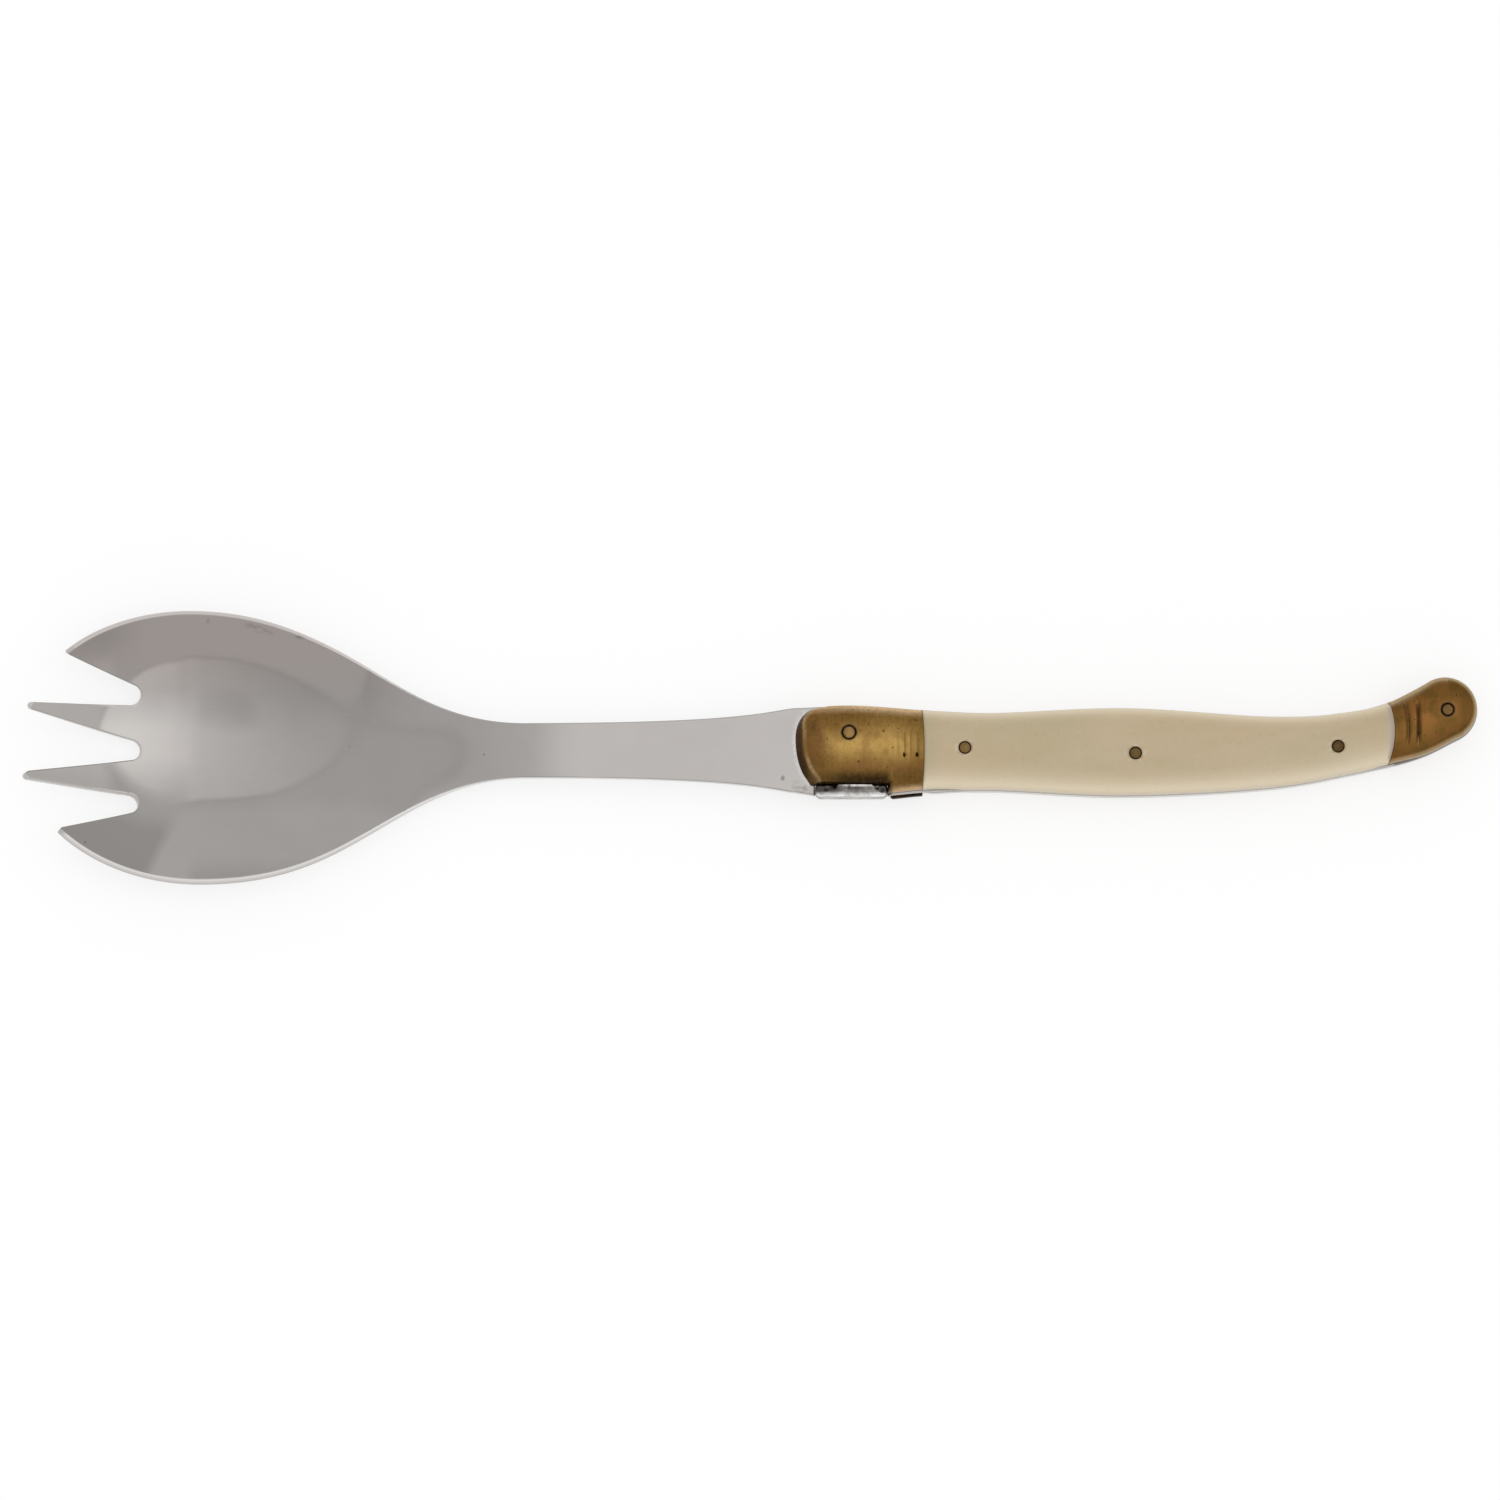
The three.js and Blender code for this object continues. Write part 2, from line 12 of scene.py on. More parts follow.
import bpy
import numpy as np
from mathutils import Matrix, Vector
from mathutils import noise as noise_field


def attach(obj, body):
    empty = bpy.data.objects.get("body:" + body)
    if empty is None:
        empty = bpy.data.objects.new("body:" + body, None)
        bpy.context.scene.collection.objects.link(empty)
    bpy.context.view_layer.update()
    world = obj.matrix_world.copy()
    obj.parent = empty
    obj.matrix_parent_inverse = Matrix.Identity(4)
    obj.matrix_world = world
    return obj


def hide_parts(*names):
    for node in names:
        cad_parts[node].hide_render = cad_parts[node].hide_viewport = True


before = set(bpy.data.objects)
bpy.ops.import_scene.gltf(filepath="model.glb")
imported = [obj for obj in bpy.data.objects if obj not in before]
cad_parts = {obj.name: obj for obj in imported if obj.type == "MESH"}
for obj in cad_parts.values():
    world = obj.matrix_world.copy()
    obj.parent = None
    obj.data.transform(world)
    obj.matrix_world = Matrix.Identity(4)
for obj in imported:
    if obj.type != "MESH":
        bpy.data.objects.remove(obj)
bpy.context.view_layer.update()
MM = 0.001

# %% [markdown]
# An operator acts on whatever is selected, and the CAD nodes come in selected. These helpers select one
# piece alone, open it for editing, pick some of its faces, cut it along planes, and apply a modifier at
# once. The last two make a flat face from an outline and print the size of a piece.


# %% Helpers for working by hand
def only(piece):
    """Select one piece and nothing else."""
    bpy.ops.object.select_all(action="DESELECT")
    piece.select_set(True)
    bpy.context.view_layer.objects.active = piece


def open_piece(piece, mode="FACE"):
    """Go into edit mode with everything on the piece selected."""
    only(piece)
    bpy.ops.object.mode_set(mode="EDIT")
    bpy.ops.mesh.reveal()
    bpy.ops.mesh.select_mode(type=mode)
    bpy.ops.mesh.select_all(action="SELECT")


def close_piece():
    bpy.ops.object.mode_set(mode="OBJECT")


def pick(piece, test):
    """Select the faces whose centre passes a test, and edit them."""
    open_piece(piece)
    bpy.ops.mesh.select_all(action="DESELECT")
    close_piece()
    for face in piece.data.polygons:
        face.select = bool(test(face.center))
    bpy.ops.object.mode_set(mode="EDIT")


def cut_lines(axis, places):
    """Cut everything visible along planes square to one axis."""
    normal = tuple(float(axis == i) for i in range(3))
    for place in places:
        bpy.ops.mesh.select_all(action="SELECT")
        bpy.ops.mesh.bisect(plane_co=tuple(n * place * MM for n in normal), plane_no=normal)


def apply_modifier(piece, kind, **settings):
    only(piece)
    modifier = piece.modifiers.new(kind.title(), kind)
    for name, value in settings.items():
        setattr(modifier, name, value)
    bpy.ops.object.modifier_apply(modifier=modifier.name)


def face_from(name, points, height):
    """One flat face inside an outline, looking up: a disc with a corner for each point, moved onto it."""
    bpy.ops.object.select_all(action="DESELECT")
    bpy.ops.mesh.primitive_circle_add(vertices=len(points), fill_type="NGON", radius=0.1)
    piece = bpy.context.object
    piece.name = piece.data.name = name
    for vertex, (x, y) in zip(piece.data.vertices, points):
        vertex.co = (x * MM, y * MM, height * MM)
    piece.data.update()
    if piece.data.polygons[0].normal.z < 0:
        open_piece(piece)
        bpy.ops.mesh.flip_normals()
        close_piece()
    return piece


def say(piece):
    size = [round(side / MM, 2) for side in piece.dimensions]
    print(f"{piece.name}: {len(piece.data.polygons)} faces, {size} mm")


# %% [markdown]
# ## The handle's middle line
# The handle is drawn as a line that carries its own width: at nine stations along it, the real handle's
# sideways place and half width are given, and a smooth curve runs through them. Both edges and the round
# butt follow from that line.

# %% Middle line and edges of the handle
STATIONS = np.array([
    (7.6, -0.35, 7.0),
    (16.6, -0.75, 7.75),
    (28.9, -0.68, 6.9),
    (38.6, -0.7, 6.45),
    (61.6, -0.75, 7.3),
    (86.6, -0.75, 5.9),
    (97.0, 0.42, 5.22),
    (108.46, 2.97, 5.05),
    (114.6, 6.29, 5.39),
])
MID_HEIGHT = 4.6
TANG_TOP = 5.6
SLAB_BASE = 5.65
SLAB_TOP = 9.2
SLAB_INSET = 0.12
FINE = 1e-4


def middle_line(t):
    """Place along, place across and half width of the handle, t from 0 at its front to 1 at the butt."""
    count = len(STATIONS) - 1
    i = min(int(t * count), count - 1)
    w = t * count - i
    p1, p2 = STATIONS[i], STATIONS[i + 1]
    p0 = STATIONS[i - 1] if i > 0 else 2 * p1 - p2
    p3 = STATIONS[i + 2] if i + 2 <= count else 2 * p2 - p1
    d0, d1, d2 = (math.sqrt(np.linalg.norm(b - a)) for a, b in ((p0, p1), (p1, p2), (p2, p3)))
    leave = d1 * ((p1 - p0) / d0 - (p2 - p0) / (d0 + d1) + (p2 - p1) / d1)
    arrive = d1 * ((p2 - p1) / d1 - (p3 - p1) / (d1 + d2) + (p3 - p2) / d2)
    cubic = 2 * (p1 - p2) + leave + arrive
    square = 3 * (p2 - p1) - 2 * leave - arrive
    return p1 + w * (leave + w * (square + w * cubic))


def across_line(t):
    """Unit vector square to the middle line, in plan."""
    ahead = middle_line(min(t + FINE, 1)) - middle_line(max(t - FINE, 0))
    return np.array((-ahead[1], ahead[0])) / math.hypot(ahead[0], ahead[1])


def handle_edge(t, side, inset=0.0):
    place = middle_line(t)
    return place[:2] + side * (place[2] - inset) * across_line(t)


def butt_arc(inset, count):
    """The round end of the handle, from its upper to its lower edge."""
    centre = middle_line(1)
    up = math.atan2(*across_line(1)[::-1])
    turns = np.linspace(up, up - math.pi, count)[1:-1]
    return [centre[:2] + (centre[2] - inset) * np.array((math.cos(a), math.sin(a))) for a in turns]


HANDLE_STEPS = np.linspace(0, 1, 161)
BUTT_POINTS = 34
upper_edge = [handle_edge(t, 1) for t in HANDLE_STEPS]
lower_edge = [handle_edge(t, -1) for t in HANDLE_STEPS]
middle_x, middle_y, half_width = np.array([middle_line(t) for t in HANDLE_STEPS]).T
print("handle from", round(middle_x[0], 1), "to", round(middle_x[-1] + half_width[-1], 1), "mm")

# %% [markdown]
# ## The steel blank
# The real blank is stamped from sheet, its head is pressed into a dish and its tines are ground by hand.
# It could be sculpted, or cut from a bent block. Here it is made as the press makes it: one flat face
# with the outline of the blank, cut into a fine net, lifted onto the dish by a formula, then given the
# thickness of the sheet and a softened edge. The net keeps reflections in the bowl smooth.

# %% Outline of the head
TIP_X = -120.0
WIDEST_X = -92.7
NECK_X = -37.2
HANDLE_X, NECK_AXIS, FRONT_HALF = STATIONS[0]
HEAD_HALF = 22.1
NOSE_LENGTH = 27.6
LOWER_BACK = 2.0  # the lower side is widest this much further back
NECK_HALF = 4.5
SHOULDER_FROM, SHOULDER_TO = -65.7, -58.7  # the curve's handles between the bowl and the neck
FLARE_FROM, FLARE_RUN = 1.2, 4.0  # and between the neck and the handle


def bezier(points, count):
    t = np.linspace(0, 1, count)[:, None]
    a, b, c, d = (np.array(point, float) for point in points)
    return (1 - t) ** 3 * a + 3 * t * (1 - t) ** 2 * b + 3 * t * t * (1 - t) * c + t**3 * d


def smooth(t):
    t = np.clip(t, 0, 1)
    return t**3 * (t * (6 * t - 15) + 10)


def head_axis(x):
    """The head's axis runs a little beside the neck's and joins it along the shoulders."""
    run = (NECK_X - WIDEST_X) / 2
    return NECK_AXIS * (1 - smooth((WIDEST_X + run - x) / run))


def nose_of(side):
    """Where one side of the head is widest, and how far its nose reaches ahead of that."""
    back = LOWER_BACK if side < 0 else 0
    return WIDEST_X + back, NOSE_LENGTH + back


def rim_half(x, side):
    widest, nose = nose_of(side)
    return HEAD_HALF * math.sqrt(1 - ((x - widest) / nose) ** 2)


def side_line(tip_x, side):
    """One side of the head and neck, from a tine tip to the handle."""
    widest, length = nose_of(side)
    first = math.acos((tip_x - widest) / length)
    turns = np.linspace(first, math.pi / 2, 48)[1:, None]
    nose = np.hstack((widest + length * np.cos(turns), HEAD_HALF * np.sin(turns)))
    shoulder = [
        (widest, HEAD_HALF), (SHOULDER_FROM, HEAD_HALF), (SHOULDER_TO, NECK_HALF), (NECK_X, NECK_HALF),
    ]
    rise = upper_edge[4] - upper_edge[0]
    flare_end = (HANDLE_X - FLARE_RUN, FRONT_HALF - FLARE_RUN * rise[1] / rise[0])
    flare = [(NECK_X, NECK_HALF), (FLARE_FROM, NECK_HALF), flare_end, (HANDLE_X, FRONT_HALF)]
    half = np.vstack((nose, bezier(shoulder, 90)[1:], bezier(flare, 50)[1:-1]))
    return [np.array((x, side * y + head_axis(x))) for x, y in half]


print("head:", round(NECK_X - TIP_X, 1), "mm long to the neck,", 2 * HEAD_HALF, "mm wide")

# %% [markdown]
# A tine is a small circle at its tip and two straight sides. Each side also touches the round root of the
# slot beside it, so one function finds where a straight line meets both circles. The two outer tines end
# in a point on the head's own outline, which is eased by a tiny arc.

# %% Outline of the tines
TIP_RADIUS = 0.65
TIP_LEAN = 0.65  # the underside of a sloping tine reaches this far ahead of its top
ROOT_RADIUS = 1.65
SLOT_LENGTH, SLOT_SPACING = 18.9, 9.0
ROOT_X = TIP_X + SLOT_LENGTH - ROOT_RADIUS
ROOTS = [
    np.array((ROOT_X + 0.4, SLOT_SPACING)),
    np.array((ROOT_X + 0.3, 0.0)),
    np.array((ROOT_X, -SLOT_SPACING)),
]
UPPER_TIP_X = TIP_X + 7.2
LOWER_TIP_X = TIP_X + 6.1
TIPS = [
    np.array((UPPER_TIP_X, rim_half(UPPER_TIP_X, 1))),
    np.array((TIP_X + 0.7 + TIP_RADIUS + TIP_LEAN, 6.4)),
    np.array((TIP_X + TIP_RADIUS + TIP_LEAN, -4.95)),
    np.array((LOWER_TIP_X, -rim_half(LOWER_TIP_X, -1))),
]
TIP_RADII = (0, TIP_RADIUS, TIP_RADIUS, 0)


def tine_side(i, root, side):
    """Where a tine's straight side leaves its tip and meets the round root of a slot."""
    along = root - TIPS[i]
    length = np.linalg.norm(along)
    reach = (TIP_RADII[i] + ROOT_RADIUS) / length
    along = along / length
    square = side * np.array((-along[1], along[0]))
    normal = along * reach + square * math.sqrt(1 - reach * reach)
    return TIPS[i] + normal * TIP_RADII[i], root - normal * ROOT_RADIUS


def arc(centre, start, end, count, through_back):
    """Points on a circle from start to end, round its back at 180 degrees or round its front at 0."""
    a, b = (math.atan2(*(point - centre)[::-1]) for point in (start, end))
    if through_back:
        a, b = a % (2 * math.pi), b % (2 * math.pi)
    radius = np.linalg.norm(start - centre)
    return [centre + radius * np.array((math.cos(t), math.sin(t))) for t in np.linspace(a, b, count)]


def eased(corner, toward_a, toward_b, radius, count=7):
    """A small arc in place of a sharp corner, met by the directions to two other points."""
    a, b = ((p - corner) / np.linalg.norm(p - corner) for p in (toward_a, toward_b))
    half = math.acos(np.dot(a, b)) / 2
    middle = (a + b) / np.linalg.norm(a + b)
    centre = corner + middle * radius / math.sin(half)
    turn = math.pi / 2 - half
    flip = np.sign(a[0] * b[1] - a[1] * b[0])
    out = math.atan2(-middle[1], -middle[0])
    turns = out + flip * np.linspace(turn, -turn, count)
    return [centre + radius * np.array((math.cos(t), math.sin(t))) for t in turns]


def tine_line():
    """All tines and slots, from the upper outer tip to the lower outer tip."""
    line = []
    for i, root in enumerate(ROOTS):
        _, at_root = tine_side(i, root, -1)
        at_tip, leaves = tine_side(i + 1, root, 1)
        line += arc(root, at_root, leaves, 20, False)
        if i < 2:
            leaves_tip, _ = tine_side(i + 1, ROOTS[i + 1], -1)
            line += arc(TIPS[i + 1], at_tip, leaves_tip, 12, True)
    return line


slots = tine_line()
print("tines and slots:", len(slots), "points")

# %% [markdown]
# The outline is now gathered in one round, and the tang's lower edge gets the seat of the small plate. The
# points next to a corner are left out, so that an inset of the face has room there.

# %% Flat face of the blank
SEAT_FROM, SEAT_TO, SEAT_Y = 10.6, 22.6, -6.25
EDGE_ROOM = 0.7
FILED, FILED_TO, FILED_RUN = 0.27, 28.2, 2.5


def filed(place):
    """The tang's lower edge was filed back a little between the plate and the bolster's joint."""
    return place + np.array((0, FILED * (1 - smooth((place[0] - FILED_TO) / FILED_RUN))))


def edge_y(x, side, inset=0.0):
    """Height of the handle's upper or lower edge at a place along it."""
    edge = np.array([handle_edge(t, side, inset) for t in HANDLE_STEPS])
    return float(np.interp(x, edge[:, 0], edge[:, 1]))


EASE = 0.33
EASE_ROOM = 1.6
FLARE_GAP = 0.5

seat = [
    np.array((SEAT_FROM, edge_y(SEAT_FROM, -1))),
    np.array((SEAT_FROM, SEAT_Y)),
    np.array((SEAT_TO, SEAT_Y)),
    filed(np.array((SEAT_TO, edge_y(SEAT_TO, -1)))),
]
lower_side = side_line(LOWER_TIP_X, -1)
upper_side = side_line(UPPER_TIP_X, 1)
lower_tip = eased(TIPS[3], slots[-1], lower_side[2], EASE)
upper_tip = eased(TIPS[0], upper_side[2], slots[0], EASE)
lower_side = [p for p in lower_side if np.linalg.norm(p - TIPS[3]) > EASE_ROOM]
upper_side = [p for p in upper_side if np.linalg.norm(p - TIPS[0]) > EASE_ROOM]
blank_outline = [
    *lower_tip,
    *lower_side,
    *[p for p in lower_edge if HANDLE_X + FLARE_GAP < p[0] < SEAT_FROM - EDGE_ROOM],
    *seat,
    *[filed(p) for p in lower_edge if p[0] > SEAT_TO + EDGE_ROOM],
    *butt_arc(0, BUTT_POINTS)[::-1],
    *[p for p in upper_edge[::-1] if p[0] > HANDLE_X + FLARE_GAP],
    *upper_side[::-1],
    *upper_tip,
    *slots,
]
blank = face_from("steel_blank", blank_outline, TANG_TOP)
say(blank)

# %% [markdown]
# The rim gets a narrow even border by an inset, and only the head and neck are cut into a net, because the
# tang stays flat between the slabs. The net is finer ahead of the bolster, where the steel is worn.

# %% Net over the head
NET_END = 13.0
NET_HALF = 21.6
NET_STEP = 0.8
WORN_FROM = 3.0
RIM_BORDER = 0.26

open_piece(blank)
bpy.ops.mesh.inset(thickness=RIM_BORDER * MM)
cut_lines(0, [NET_END])
close_piece()
pick(blank, lambda place: place.x > NET_END * MM)
bpy.ops.mesh.hide()
cut_lines(0, np.arange(TIP_X + NET_STEP / 2, WORN_FROM, NET_STEP))
cut_lines(0, np.arange(WORN_FROM, NET_END, NET_STEP / 3))
cut_lines(1, np.arange(-NET_HALF, NET_HALF + NET_STEP / 8, NET_STEP))
close_piece()
say(blank)

# %% [markdown]
# The dish has three bends along its keel, one up to the tines, one out of the bowl and one into the neck,
# and a cross-section that is a shallow parabola in the bowl and flat at the neck. Each vertex of the net
# is lifted to that height.

# %% Press the dish
TINE_SLOPE = 0.48
BENDS = {"tines": (19, 22), "bowl": (44, 32), "neck": (80.5, 26)}  # place behind the tips, and length
BOWL_DEPTH = 5.8
TROUGH = BOWL_DEPTH / HEAD_HALF**2
TROUGH_FADE = 32
HEAD_SHEET = 1.5
TANG_SHEET = 2.0


def climb(past, length):
    """Height of a line that is level before a bend and climbs one to one after it."""
    t = np.clip(past / length + 0.5, 0, 1)
    return length * t**3 * (1 - t / 2) + np.maximum(0, past - length / 2)


def keel(x):
    """The climb to the tines, and the share of the climb from the bowl to the neck."""
    back = x - TIP_X
    tines, bowl, neck = BENDS.values()
    front = TINE_SLOPE * climb(tines[0] - back, tines[1])
    ramp = climb(back - bowl[0], bowl[1]) - climb(back - neck[0], neck[1])
    return front, ramp / (neck[0] - bowl[0])


keel_places = np.arange(TIP_X, NECK_X, 0.5)
neck_climb = TANG_TOP - HEAD_SHEET
for _ in range(30):
    front, share = keel(keel_places)
    neck_climb += (TANG_TOP - neck_climb * (1 - share) + front).min() - HEAD_SHEET


def sheet_top(x, y):
    front, share = keel(x)
    trough = TROUGH * smooth((NECK_X - x) / TROUGH_FADE)
    return TANG_TOP - neck_climb * (1 - share) + front + trough * (y - head_axis(x)) ** 2


tang_share = blank.vertex_groups.new(name="tang")
for vertex in blank.data.vertices:
    x, y = vertex.co.x / MM, vertex.co.y / MM
    vertex.co.z = sheet_top(x, y) * MM
    tang_share.add([vertex.index], float(1 - smooth((NECK_X - x) / TROUGH_FADE)), "REPLACE")
bowl_floor = min(vertex.co.z for vertex in blank.data.vertices) / MM
print("bowl floor", round(bowl_floor, 2), "mm, climb to the neck", round(float(neck_climb), 2), "mm")

# %% Sheet thickness and eased edges
EDGE_EASE = 0.16

apply_modifier(
    blank, "SOLIDIFY", thickness=TANG_SHEET * MM, offset=-1, vertex_group="tang",
    thickness_vertex_group=HEAD_SHEET / TANG_SHEET, use_even_offset=True, use_rim=True,
)
apply_modifier(
    blank, "BEVEL", width=EDGE_EASE * MM, segments=2, limit_method="ANGLE",
    angle_limit=math.radians(50), harden_normals=False,
)
only(blank)
bpy.ops.object.shade_smooth_by_angle(angle=math.radians(40))
say(blank)


# %% [markdown]
# ## Bolster, scale and butt cap
# On the real fork these three were fitted to the tang and then filed and polished together, so one
# rounded surface runs over all of them. That is how they are made here: one face with the outline of the
# whole side, bordered by a few insets for the rounded edge, cut in three at the joints, netted, and lifted
# by its distance from the outline. The bottom side is a mirrored copy.

# %% Outline of one side of the handle
BOLSTER_CORNER_X = 12.0
NOSE_POINT = np.array((7.4, 1.55))
RAKE_POINT = np.array((9.9, SEAT_Y))
CORNER_ROOM = 1.7
CORNER_FULLNESS = 0.62
RAKE_SAG = 0.2
TRIM, TRIM_TO, TRIM_RUN = 0.45, 29.0, 9.0


def quadratic(a, b, c, count):
    t = np.linspace(0, 1, count)[:, None]
    return list((1 - t) ** 2 * a + 2 * t * (1 - t) * b + t * t * c)


def trimmed(place):
    """The slabs' lower edge was filed back beside the bolster's joint, so the tang shows there."""
    return place + np.array((0, TRIM * (1 - smooth((place[0] - TRIM_TO) / TRIM_RUN))))


slab_upper = [handle_edge(t, 1, SLAB_INSET) for t in HANDLE_STEPS]
slab_upper = [p for p in slab_upper if p[0] > BOLSTER_CORNER_X]
slab_lower = [handle_edge(t, -1, SLAB_INSET) for t in HANDLE_STEPS]
slab_lower = [trimmed(p) for p in slab_lower if p[0] > SEAT_TO + CORNER_ROOM]
first = slab_upper[0]
corner_a = NOSE_POINT + CORNER_FULLNESS * np.array((0, first[1] - NOSE_POINT[1]))
corner_b = first + CORNER_FULLNESS * np.array((NOSE_POINT[0] - first[0], 0))
corner = bezier([NOSE_POINT, corner_a, corner_b, first], 18)
rake = quadratic(RAKE_POINT, np.array((NOSE_POINT[0], SEAT_Y / 2 - RAKE_SAG)), NOSE_POINT, 14)
rake = [p for i, p in enumerate(rake) if i == 0 or p[1] > SEAT_Y + CORNER_ROOM]
step_corner = trimmed(np.array((SEAT_TO, edge_y(SEAT_TO, -1, SLAB_INSET))))
front_line = rake + list(corner[1:])
notch_line = [step_corner, np.array((SEAT_TO, SEAT_Y)), RAKE_POINT]
slab_outline = [
    *notch_line[::-1],
    *slab_lower,
    *butt_arc(SLAB_INSET, BUTT_POINTS)[::-1],
    *slab_upper[::-1],
    *list(corner[::-1])[1:],
    *rake[::-1][1:-1],
]
print("outline of a side:", len(slab_outline), "points")

# %% [markdown]
# A crowned section: the rounded edge is narrow, and from there the surface keeps rising gently to the
# middle line. The bolster's front edge is filed to a steep face, and the edge of its notch is rounder.

# %% Height of the handle's surface
EDGE_HEIGHT = 7.1
ROUND_WIDTH, ROUND_HEIGHT = 1.1, 0.8
CROWN = SLAB_TOP - EDGE_HEIGHT - ROUND_HEIGHT
FRONT_FACE_WIDTH, FRONT_FOOT, FRONT_FACE_TOP, FRONT_RUN = 1.25, 6.1, 8.35, 6.0
FRONT_LIMIT = 20.0  # behind this place the front edge has no say
NOTCH_WIDTH, NOTCH_FOOT = 1.9, 6.7
BLEND = 0.12


def to_line(points, line):
    """Distance of each point from a line through given places."""
    line = np.array(line)
    starts, runs = line[:-1], np.diff(line, axis=0)
    t = ((points[:, None] - starts) * runs).sum(2) / (runs**2).sum(1)
    nearest = starts + np.clip(t, 0, 1)[..., None] * runs
    return np.linalg.norm(points[:, None] - nearest, axis=2).min(1)


def quarter(d, width):
    """A quarter of an ellipse, from 0 at an edge to 1 at its width."""
    return np.sqrt(np.maximum(0, 1 - (1 - np.minimum(d / width, 1)) ** 2))


def lower_of(a, b):
    """The lower of two heights, with a soft ridge between them."""
    gap = np.clip(0.5 + (b - a) / (2 * BLEND), 0, 1)
    return b + (a - b) * gap - BLEND * gap * (1 - gap)


def fade(d, width):
    """1 on a line, falling softly to 0 at a width."""
    return 1 - smooth(d / width)


def band(d, middle, half):
    """1 at a middle place, falling to 0 at half a width to either side."""
    return np.clip(1 - np.abs(d - middle) / half, 0, 1)


side_upper = [np.array((0.0, first[1])), *slab_upper, *butt_arc(SLAB_INSET, BUTT_POINTS)]
side_lower = [
    *butt_arc(SLAB_INSET, BUTT_POINTS)[-2:], *slab_lower[::-1], step_corner, np.array((0.0, step_corner[1])),
]


def distances(points):
    """How far places in plan lie from the long edges, the bolster's front edge and its notch."""
    front = to_line(points, front_line)
    return {
        "upper": to_line(points, side_upper),
        "lower": to_line(points, side_lower),
        "front": np.where(points[:, 0] < FRONT_LIMIT, front, FRONT_LIMIT),
        "notch": to_line(points, notch_line),
    }


def front_face(points):
    """Width of the bolster's steep front face, which narrows towards its upper corner."""
    return FRONT_FACE_WIDTH * (0.25 + 0.75 * smooth((6.0 - points[:, 1]) / 5))


def handle_height(points):
    """Height of the polished surface over places in plan, in millimetres."""
    d = distances(points)
    d_side = np.minimum(d["upper"], d["lower"])
    half = np.interp(points[:, 0], middle_x, half_width) - SLAB_INSET
    inward = np.clip(1 - d_side / half, 0, 1)
    side = EDGE_HEIGHT + ROUND_HEIGHT * quarter(d_side, ROUND_WIDTH) + CROWN * (1 - inward**2)
    face = front_face(points)
    steep = FRONT_FOOT + (FRONT_FACE_TOP - FRONT_FOOT) * d["front"] / face
    past_front = np.clip((d["front"] - face) / FRONT_RUN, -1, 1)
    gentle = FRONT_FACE_TOP + (SLAB_TOP - FRONT_FACE_TOP) * (1 - (1 - past_front) ** 2)
    notch = NOTCH_FOOT + (SLAB_TOP - NOTCH_FOOT) * quarter(d["notch"], NOTCH_WIDTH)
    return lower_of(lower_of(side, notch), lower_of(steep, gentle))


top_of_grip = handle_height(np.array([(middle_x[80], middle_y[80])]))[0]
print("top of the grip:", round(float(top_of_grip), 2), "mm")

# %% [markdown]
# Each inset draws a ring just inside the outline, and the rings later hold the rounded edge. Then the face
# is cut at the two joints and its ends are split off, so that neighbours share the very same edge.

# %% Border the outline and cut it at the joints
BORDER = (0.05, 0.13, 0.22, 0.3)
BOLSTER_JOINT, CAP_JOINT = 28.65, 106.1

side_face = face_from("handle_side", slab_outline, SLAB_BASE)
open_piece(side_face)
for width in BORDER:
    bpy.ops.mesh.inset(thickness=width * MM)
close_piece()
open_piece(side_face)
cut_lines(0, [BOLSTER_JOINT, CAP_JOINT])
close_piece()


def split_off(name, test):
    pick(side_face, test)
    bpy.ops.mesh.separate(type="SELECTED")
    close_piece()
    piece = next(o for o in bpy.context.selected_objects if o is not side_face)
    piece.name = piece.data.name = name
    return piece


top_bolster = split_off("top_bolster_brass", lambda place: place.x < BOLSTER_JOINT * MM)
top_cap = split_off("top_butt_cap_brass", lambda place: place.x > CAP_JOINT * MM)
top_scale = side_face
top_scale.name = top_scale.data.name = "top_scale_ivory"
for piece in (top_bolster, top_scale, top_cap):
    say(piece)

# %% [markdown]
# The nets: fine on the brass, where grooves and dots are cut, coarser on the ivory. Extra lines run along
# each groove so that its bottom and its lips have vertices of their own.

# %% Nets over the three pieces
BRASS_NET, IVORY_NET = 0.22, (0.7, 0.35)
CAP_GROOVES = (108.4, 110.1)
WORN_LINES = (24.2, 25.3, 26.3, 27.5)
GROOVE_HALF, LINE_HALF = 0.4, 0.18


def around(places, reach):
    return [place + offset for place in places for offset in (-reach, -reach / 2, 0, reach / 2, reach)]


def net(piece, x_places, y_places):
    open_piece(piece)
    cut_lines(0, x_places)
    cut_lines(1, y_places)
    close_piece()
    say(piece)


bolster_x = [*np.arange(7.6, 28.6, BRASS_NET), *around(WORN_LINES, LINE_HALF)]
cap_x = [*np.arange(106.3, 119.8, BRASS_NET), *around(CAP_GROOVES, GROOVE_HALF)]
net(top_bolster, bolster_x, np.arange(-7.9, 6.9, BRASS_NET))
net(top_cap, cap_x, np.arange(-2.9, 11.5, BRASS_NET))
net(top_scale, np.arange(29.05, 106.0, IVORY_NET[0]), np.arange(-8.0, 7.6, IVORY_NET[1]))

# %% [markdown]
# The bolster carries four faint cut lines and two punched dots near its joint, and the cap two deep
# grooves. A function gives the depth of all of them at any place, so they can be taken off the height.

# %% Depth of the carving
GROOVE_DEPTH, GROOVE_ENDS = 0.3, (-0.8, 7.6)
LINE_DEPTH, LINE_ENDS = 0.05, (-2.9, 2.6)
DOTS = ((25.3, -1.55), (27.4, -1.55))
DOT_DEPTH, DOT_SIZE, DOT_SLOPE = 0.35, np.array((0.26, 0.42)), 1.4


